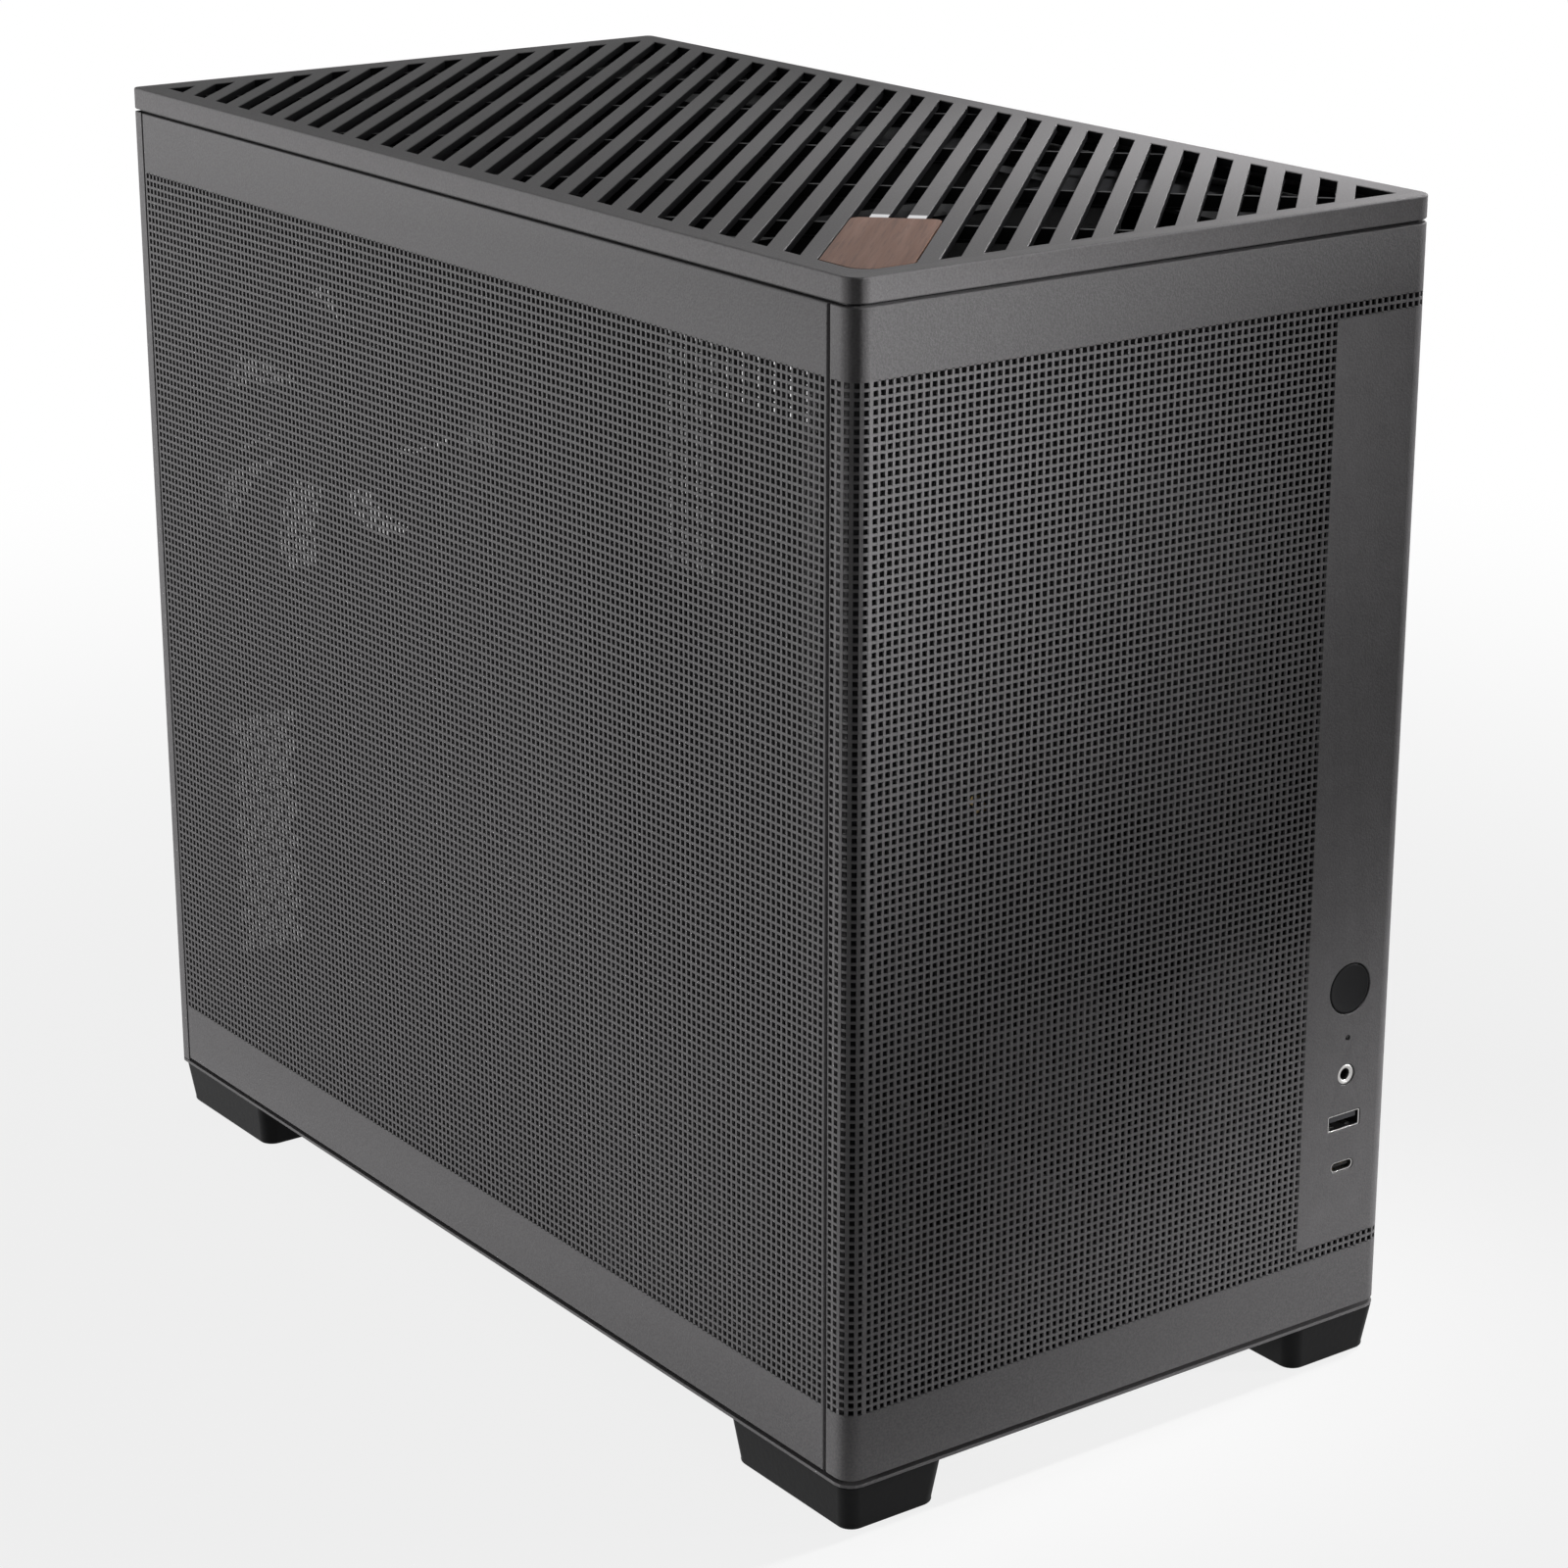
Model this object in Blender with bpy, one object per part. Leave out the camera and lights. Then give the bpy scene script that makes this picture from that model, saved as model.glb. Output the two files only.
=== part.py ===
"""A micro ATX computer case: folded steel panels, a slotted top cover and the chassis inside.

All sizes are in millimetres and turned into metres when a mesh is made. X points right,
Y points to the back and Z points up; the origin is under the middle of the case, on the floor.
"""

import math

import bpy
from mathutils import Vector

MM = 0.001

# Overall case
CASE_WIDTH = 213.0
CASE_DEPTH = 407.0
BODY_HEIGHT = 354.2
FRONT_CORNER = 6.0
REAR_CORNER = 2.5
CORNER_STEPS = 4

# Sheets and fits
SHEET = 1.0
FIT = 0.3
FUSE = 0.5

# Base
FOOT_HEIGHT = 15.5
SHADOW_GAP = 1.0
UPSTAND_HEIGHT = 13.0
RETURN_DEPTH = 6.0
BASE_VENT_COLUMNS = 3
BASE_VENT_ROWS = 10
BASE_VENT_BRIDGE = (6.0, 11.0)
BASE_VENT_MARGIN = (1.5, 30.0)

# Top cover
SKIRT_HEIGHT = 7.1
COVER_GAP = 1.0
COVER_WALL = 2.0
COVER_FACE = 2.5
BORDER_SIDE = 8.6
BORDER_FRONT = 8.1
BORDER_BACK = 10.5
SLOT_PITCH = 10.8
SLOT_WIDTH = 5.2
BAR_PHASE = 1.5
RIB_SHARES = (0.33, 0.62)
RIB_WIDTH = 1.8
RIB_DEPTH = 4.2
RIB_FOOT = (1.0, 0.8)
TAB_LENGTH = 12.0
TAB_SETBACK = 26.0

# Wood badge at the front left corner of the slots
BADGE_SLOTS = 3
BADGE_REACH = 77.2
BADGE_CORNER = 3.0
BADGE_THICKNESS = 2.0
BADGE_FLOOR = 1.2
BADGE_LAP = 1.0
TIP_LENGTH = 4.8
TIP_THICKNESS = 1.2

# Front panel
SIDE_SEAM = 10.7
SEAM_GAP = 0.6
REAR_STRIP = 6.0
FIELD_TOP = 27.8
FIELD_BOTTOM = 333.2
FIELD_LEFT_MARGIN = 6.5
FIELD_RIGHT_MARGIN = 37.0
MESH_OPEN = 0.66
FRONT_COLUMNS = 6
FRONT_ROWS = 11
EDGE_ROW_HEIGHT = 4.2
EDGE_ROW_COLUMNS = 4

# Side panels
SIDE_COLUMNS = 9
SIDE_ROWS = 8
SIDE_MARGIN = 2.0

# Controls and sockets, as distances below the top face on one upright line
IO_MARGIN = 19.5
BUTTON_DROP = 244.1
LED_DROP = 260.5
JACK_DROP = 272.7
USB_A_DROP = 288.3
USB_C_DROP = 303.5
BUTTON_RADIUS = 8.0
BUTTON_FLANGE = 9.6
BUTTON_GAP = 0.4
BUTTON_TRAVEL = 1.2
LED_RADIUS = 0.6
LED_BODY_RADIUS = 1.5
JACK_RADIUS = 3.3
JACK_BORE = 1.8
USB_A_SIZE = (13.2, 5.3)
USB_C_SIZE = (9.0, 3.2)
USB_A_CORNER = 0.6
SOCKET_WALL = 0.5
SOCKET_INSET = 0.2
SOCKET_DEPTH = 11.0
SOCKET_GAP = 0.3
CARRIER_SIZE = (24.2, 86.0)
BOARD_THICKNESS = 1.6

# Front frame
FRAME_SETBACK = 17.5
FRAME_RETURN = 13.0
FRAME_POST_LEFT = 25.4
FRAME_POST_RIGHT = 32.9
LOWER_WINDOW = (40.0, 148.0)

# Power supply cage
CAGE_LEFT_MARGIN = 32.0
CAGE_TRAY_GAP = 3.5
CAGE_BOTTOM = 163.0
CAGE_HEIGHT = 154.0
CAGE_EAR = 4.0
CAGE_VENT_MARGIN = 12.0
CAGE_HUB = 40.0
CAGE_SCREW_MARGIN = 16.5
CAGE_SHELF_MARGIN = 12.0
CAGE_SCREW_HOLE = 5.0
CAGE_HEX_PITCH = 17.5

# Top frame
TOP_FRAME_FLANGE = 15.0
TOP_WINDOW_LEFT = 34.5
TOP_WINDOW_RIGHT = 44.5
TOP_WINDOW_REAR = 23.5
TOP_WINDOW_FRONT = 23.5
TOP_WINDOW_BRIDGE = 10.0
TOP_SLOT = (4.5, 34.0)
TOP_SLOT_OFFSET = 10.0
TOP_SLOTS = 5

# Rear wall
WALL_FLANGE = 13.0
IO_OPENING = (44.4, 158.7)
IO_OPENING_BOTTOM = 150.5
EXPANSION_SLOTS = 5
EXPANSION_PITCH = 20.32
EXPANSION_TOP_DROP = 13.5
EXPANSION_OPENING = (104.0, 14.4)
COVER_PLATE = (113.0, 18.4)
COVER_SHEET = 0.9
COVER_TAB = 11.0
WALL_HEX_PITCH = 17.0
HEX_WEB = 2.4
VENT_MARGIN = 22.5
VENT_GAP = 2.7
COVER_OVERLAP = 2.0
CLAMP_FOOT = 7.0
CLAMP_LEG = 13.0
CLAMP_SCREW_RADIUS = 4.0
CLAMP_SCREW_HEAD = 6.0
CLAMP_SCREW_SHANK = 1.5

# Rear fan
FAN_SIZE = 120.0
FAN_DEPTH = 25.0
FAN_MARGIN = 8.5
FAN_Z = 245.0
FAN_DUCT = 57.5
FAN_SCREWS = 105.0
FAN_SCREW_HOLE = 2.2
FAN_BASE_RADIUS = 22.0
FAN_BASE_THICKNESS = 3.0
FAN_STRUT = 5.0
FAN_PIN_RADIUS = 1.6
FAN_BORE_RADIUS = 2.1
ROTOR_RADIUS = 55.5
ROTOR_HUB_RADIUS = 20.5
ROTOR_HUB_DEPTH = 18.0
ROTOR_GAP = 0.4
BLADES = 7
BLADE_STATIONS = 5

# Motherboard tray
TRAY_MARGIN = 26.5
TRAY_REACH = 53.2
BOARD_SIZE = 244.0
STANDOFF_HEIGHT = 6.5
STANDOFF_RADIUS = 3.0
STANDOFF_COLUMNS = (10.2, 134.6, 237.5)
STANDOFF_ROWS = (10.2, 165.1, 210.8)
CPU_WINDOW = (110.0, 100.0)
CPU_CENTRE = (95.0, 78.0)
CABLE_SLOT = (18.0, 55.0)
CABLE_SLOT_SETBACK = 17.0
CABLE_SLOTS = 3
CABLE_SLOT_FIRST = 88.0
CABLE_SLOT_PITCH = 90.0
GROMMET_LIP = 3.0
GROMMET_WALL = 1.6
GROMMET_CORNER = 4.0
GROMMET_PROUD = 1.0
DRIVE_SIZE = (76.0, 104.0)
DRIVE_RAIL = 8.0

# Bottom filter and its runners
FILTER_FOOT_GAP = 9.1
FILTER_END_MARGIN = 63.5
FILTER_THICKNESS = 3.0
FILTER_RIM = 9.0
FILTER_MESH = 0.8
FILTER_GAP = 0.5
RUNNER_WALL = 1.5
RUNNER_LIP = 5.0
RUNNER_EXTRA = 10.0

# Feet
FOOT_LENGTH = 60.5
FOOT_WIDTH = 37.0
FOOT_INSET = 0.4
FOOT_TAPER = 7.6
FOOT_CORNER = 5.0
FOOT_BOTTOM_EDGE = 1.0
PAD_STAND = 0.6
PAD_HEIGHT = 2.4
PAD_MARGIN = 6.0

# Rear power inlet
INLET_MARGIN = 38.5
INLET_ABOVE_PAN = 15.5
INLET_FLANGE = (46.0, 22.0)
INLET_BODY = (27.0, 19.6)
INLET_SOCKET = (23.4, 16.0)
INLET_DEPTH = 18.0

# Planes worked out from the sizes above
HALF_W = CASE_WIDTH / 2
HALF_D = CASE_DEPTH / 2
PAN_BOTTOM = FOOT_HEIGHT + FIT
PAN_TOP = PAN_BOTTOM + SHEET
PANEL_BOTTOM = PAN_TOP + SHADOW_GAP
CASE_TOP = PANEL_BOTTOM + BODY_HEIGHT
SKIRT_BOTTOM = CASE_TOP - SKIRT_HEIGHT
PANEL_TOP = SKIRT_BOTTOM - COVER_GAP
INNER_W = HALF_W - RETURN_DEPTH - FIT
INNER_D = HALF_D - RETURN_DEPTH - FIT
FRONT_SEAM_Y = -HALF_D + SIDE_SEAM
REAR_SEAM_Y = HALF_D - REAR_STRIP
WALL_INNER_Y = HALF_D - SHEET
TOP_FRAME_TOP = PANEL_TOP - SHEET - FIT - 0.1
TOP_FRAME_BOTTOM = TOP_FRAME_TOP - SHEET
WALL_BOTTOM = PAN_TOP + FIT
FLANGE_TOP = TOP_FRAME_BOTTOM - FIT
FRAME_FRONT_Y = -HALF_D + FRAME_SETBACK
FRAME_BACK_Y = FRAME_FRONT_Y + SHEET
FRAME_HALF_W = INNER_W - SHEET - FIT
COVER_UNDERSIDE = CASE_TOP - COVER_FACE
ROOT2 = math.sqrt(2.0)
FIELD_LEFT = -HALF_W + FIELD_LEFT_MARGIN
FIELD_RIGHT = HALF_W - FIELD_RIGHT_MARGIN
IO_X = HALF_W - IO_MARGIN
TRAY_X = HALF_W - TRAY_MARGIN
BOARD_REAR = WALL_INNER_Y - FIT
TRAY_FRONT = BOARD_REAR - BOARD_SIZE - TRAY_REACH
CAGE_LEFT = -HALF_W + CAGE_LEFT_MARGIN
CAGE_RIGHT = TRAY_X - CAGE_TRAY_GAP - SHEET
CAGE_FRONT = FRAME_BACK_Y + FIT
CAGE_BACK = TRAY_FRONT + FIT
FAN_X = -HALF_W + FAN_SIZE / 2 + FAN_MARGIN
INLET_X = -HALF_W + INLET_MARGIN
FILTER_HALF_WIDTH = HALF_W - FOOT_INSET - FOOT_WIDTH - FILTER_FOOT_GAP
FILTER_HALF_LENGTH = HALF_D - FILTER_END_MARGIN
TOP_WINDOW_X = (-HALF_W + TOP_WINDOW_LEFT, HALF_W - TOP_WINDOW_RIGHT)
TOP_WINDOW_Y = (TRAY_FRONT + TOP_WINDOW_BRIDGE, HALF_D - TOP_WINDOW_REAR)
TOP_FRONT_WINDOW_Y = (-HALF_D + TOP_WINDOW_FRONT, TRAY_FRONT - TOP_WINDOW_BRIDGE)

WINDOW = (
    -HALF_W + BORDER_SIDE,
    HALF_W - BORDER_SIDE,
    -HALF_D + BORDER_FRONT,
    HALF_D - BORDER_BACK,
)


def clear_scene():
    for obj in list(bpy.data.objects):
        bpy.data.objects.remove(obj, do_unlink=True)


def material(name, colour, roughness, metallic):
    made = bpy.data.materials.new(name)
    made.use_nodes = True
    shader = made.node_tree.nodes["Principled BSDF"]
    shader.inputs["Base Color"].default_value = (*colour, 1.0)
    shader.inputs["Roughness"].default_value = roughness
    shader.inputs["Metallic"].default_value = metallic
    return made


def mesh_object(name, points, faces, finish, origin=(0.0, 0.0, 0.0)):
    """An object from points in millimetres, with its own origin at a place in millimetres."""
    mesh = bpy.data.meshes.new(name)
    shift = Vector(origin)
    mesh.from_pydata([(Vector(p) - shift) * MM for p in points], [], faces)
    mesh.update()
    obj = bpy.data.objects.new(name, mesh)
    obj.location = shift * MM
    bpy.context.scene.collection.objects.link(obj)
    if finish is not None:
        mesh.materials.append(finish)
    return obj


def add_boolean(obj, helper, operation):
    modifier = obj.modifiers.new(helper.name, "BOOLEAN")
    modifier.operation = operation
    modifier.solver = "EXACT"
    modifier.object = helper
    helper.hide_render = True
    helper.display_type = "WIRE"


def cut(obj, solids, name):
    add_boolean(obj, solid_group(name, solids), "DIFFERENCE")


def fuse(obj, solids, name):
    add_boolean(obj, solid_group(name, solids), "UNION")


def area(outline):
    return sum(
        a[0] * b[1] - b[0] * a[1] for a, b in zip(outline, outline[1:] + outline[:1])
    ) / 2


def prism(outline, low, high, axis):
    """Points and faces of an outline drawn square to an axis and run from low to high along it.

    The outline is in (x, y) for axis Z, in (x, z) for axis Y and in (y, z) for axis X.
    """
    if (area(outline) < 0) != (axis == "Y"):
        outline = outline[::-1]
    place = {
        "X": lambda u, v, w: (w, u, v),
        "Y": lambda u, v, w: (u, w, v),
        "Z": lambda u, v, w: (u, v, w),
    }[axis]
    count = len(outline)
    points = [place(u, v, low) for u, v in outline] + [place(u, v, high) for u, v in outline]
    faces = [list(range(count))[::-1], list(range(count, 2 * count))]
    for i in range(count):
        j = (i + 1) % count
        faces.append([i, j, count + j, count + i])
    return points, faces


def box(low, high):
    outline = [(low[0], low[1]), (high[0], low[1]), (high[0], high[1]), (low[0], high[1])]
    return prism(outline, low[2], high[2], "Z")


def solid_group(name, solids, finish=None, origin=(0.0, 0.0, 0.0)):
    points = []
    faces = []
    for solid_points, solid_faces in solids:
        start = len(points)
        points += solid_points
        faces += [[start + i for i in face] for face in solid_faces]
    return mesh_object(name, points, faces, finish, origin)


def arc(cx, cy, radius, start, end, steps):
    turns = [math.radians(start + (end - start) * i / steps) for i in range(steps + 1)]
    return [(cx + radius * math.cos(t), cy + radius * math.sin(t)) for t in turns]


def circle(cx, cy, radius, sides):
    return arc(cx, cy, radius, 0.0, 360.0, sides)[:-1]


def rectangle(x0, x1, y0, y1):
    return [(x0, y0), (x1, y0), (x1, y1), (x0, y1)]


def rounded(x0, x1, y0, y1, radii, steps=CORNER_STEPS):
    """A rectangle with rounded corners: radii for low-y (front) and high-y (rear) corners."""
    front, rear = radii
    outline = arc(x0 + front, y0 + front, front, 180.0, 270.0, steps)
    outline += arc(x1 - front, y0 + front, front, 270.0, 360.0, steps)
    outline += arc(x1 - rear, y1 - rear, rear, 0.0, 90.0, steps)
    outline += arc(x0 + rear, y1 - rear, rear, 90.0, 180.0, steps)
    return outline


def clip(outline, nx, ny, limit):
    """The part of a convex outline on the side nx*x + ny*y <= limit."""
    kept = []
    for (ax, ay), (bx, by) in zip(outline, outline[1:] + outline[:1]):
        da = nx * ax + ny * ay - limit
        db = nx * bx + ny * by - limit
        if da <= 0:
            kept.append((ax, ay))
        if (da < 0 < db) or (db < 0 < da):
            share = da / (da - db)
            kept.append((ax + share * (bx - ax), ay + share * (by - ay)))
    return kept


def diagonal_strip(middle, width, rect):
    """A 45 degree strip, front left to back right, clipped by a rectangle."""
    outline = rectangle(*rect)
    outline = clip(outline, -1 / ROOT2, 1 / ROOT2, middle + width / 2)
    return clip(outline, 1 / ROOT2, -1 / ROOT2, -(middle - width / 2))


def round_corners(outline, radius, steps=3):
    """Each corner of a convex outline replaced by an arc."""
    made = []
    count = len(outline)
    for i in range(count):
        corner = Vector(outline[i])
        before = (Vector(outline[i - 1]) - corner).normalized()
        after = (Vector(outline[(i + 1) % count]) - corner).normalized()
        half = before.angle(after) / 2
        setback = radius / math.tan(half)
        centre = corner + (before + after).normalized() * radius / math.sin(half)
        first = corner + before * setback - centre
        last = corner + after * setback - centre
        for step in range(steps + 1):
            spoke = first.slerp(last, step / steps)
            made.append(tuple(centre + spoke))
    return made


def hexagon(cx, cy, across):
    return [
        (x, y) for x, y in arc(cx, cy, across / math.sqrt(3.0), 30.0, 390.0, 6)[:-1]
    ]


def hex_field(x0, x1, y0, y1, pitch, keep):
    """Centres of a honeycomb inside a rectangle that a test function keeps."""
    rise = pitch * math.sqrt(3.0) / 2
    rows = int((y1 - y0) / rise) + 1
    top = (y0 + y1) / 2 + (rows - 1) * rise / 2
    centres = []
    for row in range(rows):
        y = top - row * rise
        offset = pitch / 2 if row % 2 else 0.0
        count = int((x1 - x0) / pitch / 2) + 1
        for column in range(-count, count + 1):
            x = (x0 + x1) / 2 + column * pitch + offset
            if x0 <= x <= x1 and y0 <= y <= y1 and keep(x, y):
                centres.append((x, y))
    return centres


def grid_cells(x0, x1, z0, z1, columns, rows, open_share):
    """Rectangles of a perforated field, each a share of its cell."""
    wide = (x1 - x0) / columns
    tall = (z1 - z0) / rows
    cells = []
    for column in range(columns):
        for row in range(rows):
            cx = x0 + (column + 0.5) * wide
            cz = z0 + (row + 0.5) * tall
            half_x = wide * open_share / 2
            half_z = tall * open_share / 2
            cells.append(rectangle(cx - half_x, cx + half_x, cz - half_z, cz + half_z))
    return cells


def below_top(drop):
    return CASE_TOP - drop


def case_outline(inset=0.0):
    radii = (FRONT_CORNER - inset, max(REAR_CORNER - inset, 0.5))
    return rounded(
        -HALF_W + inset, HALF_W - inset, -HALF_D + inset, HALF_D - inset, radii
    )


def smooth(obj, degrees=35.0):
    mesh = obj.data
    mesh.shade_smooth()
    mesh.set_sharp_from_angle(angle=math.radians(degrees))


def turned(name, profile, sides, finish, centre, axis_y=True):
    """A closed solid turned about an axis along Y from (radius, y) pairs that start and end at 0."""
    points = []
    faces = []
    cx, cz = centre
    rings = []
    for radius, y in profile:
        if radius == 0.0:
            rings.append([len(points)])
            points.append((cx, y, cz))
            continue
        ring = []
        for i in range(sides):
            turn = 2 * math.pi * i / sides
            ring.append(len(points))
            points.append((cx + radius * math.cos(turn), y, cz + radius * math.sin(turn)))
        rings.append(ring)
    for a, b in zip(rings, rings[1:]):
        for i in range(sides):
            j = (i + 1) % sides
            if len(a) == 1:
                faces.append([a[0], b[i], b[j]])
            elif len(b) == 1:
                faces.append([a[i], b[0], a[j]])
            else:
                faces.append([a[i], b[i], b[j], a[j]])
    obj = mesh_object(name, points, faces, finish, (cx, profile[0][1], cz))
    smooth(obj)
    return obj


def slot_middles():
    """Offsets, square to the slots, of every slot that crosses the window."""
    x0, x1, y0, y1 = WINDOW
    first = math.ceil(((y0 - x1) / ROOT2 - BAR_PHASE) / SLOT_PITCH - 0.5)
    last = math.floor(((y1 - x0) / ROOT2 - BAR_PHASE) / SLOT_PITCH - 0.5)
    return {k: BAR_PHASE + (k + 0.5) * SLOT_PITCH for k in range(first, last + 1)}


def badge_slot():
    """Number of the slot that runs into the window's front left corner."""
    corner = (WINDOW[2] - WINDOW[0]) / ROOT2
    return round((corner - BAR_PHASE) / SLOT_PITCH - 0.5)


def badge_end():
    """How far along the slots the badge ends, from the middle of the case."""
    return (WINDOW[0] + WINDOW[2]) / ROOT2 + BADGE_REACH


def badge_range():
    """The badge's two long edges, as offsets square to the slots."""
    half = BADGE_SLOTS // 2
    middle = BAR_PHASE + (badge_slot() + 0.5) * SLOT_PITCH
    reach = half * SLOT_PITCH + SLOT_WIDTH / 2
    return middle - reach, middle + reach


def badge_outline(inset, overrun=0.0):
    low, high = badge_range()
    rect = (WINDOW[0] + inset, WINDOW[1], WINDOW[2] + inset, WINDOW[3])
    outline = diagonal_strip((low + high) / 2, high - low - 2 * inset, rect)
    outline = clip(outline, 1 / ROOT2, 1 / ROOT2, badge_end() - inset + overrun)
    return round_corners(outline, BADGE_CORNER - inset)


def bar_end_outline(bar, start, end, inset):
    """A short stretch of one bar, from start to end along the slots."""
    middle = BAR_PHASE + bar * SLOT_PITCH
    half = (SLOT_PITCH - SLOT_WIDTH) / 2 - inset
    corners = [(start, middle - half), (end, middle - half), (end, middle + half), (start, middle + half)]
    return [((s - o) / ROOT2, (s + o) / ROOT2) for s, o in corners]


def badge_bars():
    half = BADGE_SLOTS // 2
    return range(badge_slot() - half + 1, badge_slot() + half + 1)


def make_top_cover(finish):
    """Moulded cover: a skirt, a slotted face, cross ribs under the bars and a pocket for the badge."""
    cover = solid_group("top_cover", [prism(case_outline(), SKIRT_BOTTOM, CASE_TOP, "Z")], finish)
    hollow = prism(case_outline(COVER_WALL), SKIRT_BOTTOM - 1.0, COVER_UNDERSIDE, "Z")
    cut(cover, [hollow], "cover_hollow")
    low, high = badge_range()
    x0, x1, y0, y1 = WINDOW
    floor = diagonal_strip((low + high) / 2, high - low + 2 * BADGE_LAP, WINDOW)
    floor = clip(floor, 1 / ROOT2, 1 / ROOT2, badge_end() + BADGE_LAP)
    floor_low = CASE_TOP - BADGE_THICKNESS - FIT - BADGE_FLOOR
    fuse(cover, [prism(floor, floor_low, COVER_UNDERSIDE + FUSE, "Z")], "badge_floor")
    ribs = []
    reach = (x1 - x0 + y1 - y0) / 2 / ROOT2
    mirrored = (-x1 - FUSE, -x0 + FUSE, y0 - FUSE, y1 + FUSE)
    feet = []
    rib_low = COVER_UNDERSIDE - RIB_DEPTH
    for share in [-k for k in RIB_SHARES] + [0.0] + list(RIB_SHARES):
        strip = diagonal_strip(share * reach, RIB_WIDTH, mirrored)
        outline = [(-x, y) for x, y in strip]
        ribs.append(prism(outline, rib_low + FUSE / 2, COVER_UNDERSIDE + FUSE / 2, "Z"))
        strip = diagonal_strip(share * reach, RIB_WIDTH + 2 * RIB_FOOT[0], mirrored)
        outline = [(-x, y) for x, y in strip]
        feet.append(prism(outline, rib_low, rib_low + RIB_FOOT[1], "Z"))
    fuse(cover, ribs, "cover_ribs")
    fuse(cover, feet, "rib_feet")
    tabs = []
    for side in (-1, 1):
        edges = sorted((side * (HALF_W - BORDER_SIDE + FIT), side * INNER_W))
        for y in (-HALF_D + TAB_SETBACK, 0.0, HALF_D - TAB_SETBACK):
            low_corner = (edges[0], y - TAB_LENGTH / 2, TOP_FRAME_TOP + FIT)
            high_corner = (edges[1], y + TAB_LENGTH / 2, COVER_UNDERSIDE + FUSE)
            tabs.append(box(low_corner, high_corner))
    fuse(cover, tabs, "cover_tabs")
    slots = []
    half = BADGE_SLOTS // 2
    for k, middle in slot_middles().items():
        outline = diagonal_strip(middle, SLOT_WIDTH, WINDOW)
        if abs(k - badge_slot()) <= half:
            outline = clip(outline, -1 / ROOT2, -1 / ROOT2, -badge_end())
        if len(outline) >= 3 and abs(area(outline)) > SLOT_WIDTH:
            slots.append(prism(outline, COVER_UNDERSIDE - FIT, CASE_TOP + 1.0, "Z"))
    cut(cover, slots, "cover_slots")
    pocket_low = CASE_TOP - BADGE_THICKNESS - FIT
    pocket = [prism(badge_outline(0.0, FIT), pocket_low, CASE_TOP + 1.0, "Z")]
    cut(cover, pocket, "badge_pocket")
    notches = []
    for bar in badge_bars():
        outline = bar_end_outline(bar, badge_end() - FUSE, badge_end() + TIP_LENGTH, -FUSE)
        notches.append(prism(outline, CASE_TOP - TIP_THICKNESS - FIT, CASE_TOP + 1.0, "Z"))
    cut(cover, notches, "tip_notches")
    return cover


def make_badge(wood, metal):
    badge = solid_group(
        "wood_badge", [prism(badge_outline(FIT), CASE_TOP - BADGE_THICKNESS, CASE_TOP, "Z")], wood
    )
    smooth(badge)
    for number, bar in enumerate(badge_bars(), 1):
        outline = bar_end_outline(bar, badge_end() + FIT, badge_end() + TIP_LENGTH - FIT, 0.0)
        solid_group(
            f"badge_tip_{number}",
            [prism(outline, CASE_TOP - TIP_THICKNESS, CASE_TOP, "Z")],
            metal,
        )


def folded_wall(y_face, y_tip, corner, half_w=HALF_W):
    """Plan outline of a sheet across the case with both ends folded along the sides."""
    side = -1 if y_face < y_tip else 1
    inner = corner - SHEET
    cy = y_face - side * corner
    cx = half_w - corner
    start = 270.0 if side < 0 else 90.0
    outline = [(-half_w, y_tip)]
    turn = 90.0 * side
    outline += arc(-cx, cy, corner, 180.0, 180.0 - turn, CORNER_STEPS)
    outline += arc(cx, cy, corner, start, start - turn, CORNER_STEPS)
    outline += [(half_w, y_tip), (half_w - SHEET, y_tip)]
    outline += arc(cx, cy, inner, start - turn, start, CORNER_STEPS)
    outline += arc(-cx, cy, inner, 180.0 - turn, 180.0, CORNER_STEPS)
    outline += [(-half_w + SHEET, y_tip)]
    return outline


def io_outline(size, drop, gap):
    half_x = size[0] / 2 + gap
    half_z = size[1] / 2 + gap
    z = below_top(drop)
    corner = half_z if size is USB_C_SIZE else USB_A_CORNER + gap
    return rounded(IO_X - half_x, IO_X + half_x, z - half_z, z + half_z, (corner, corner), 3)


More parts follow.
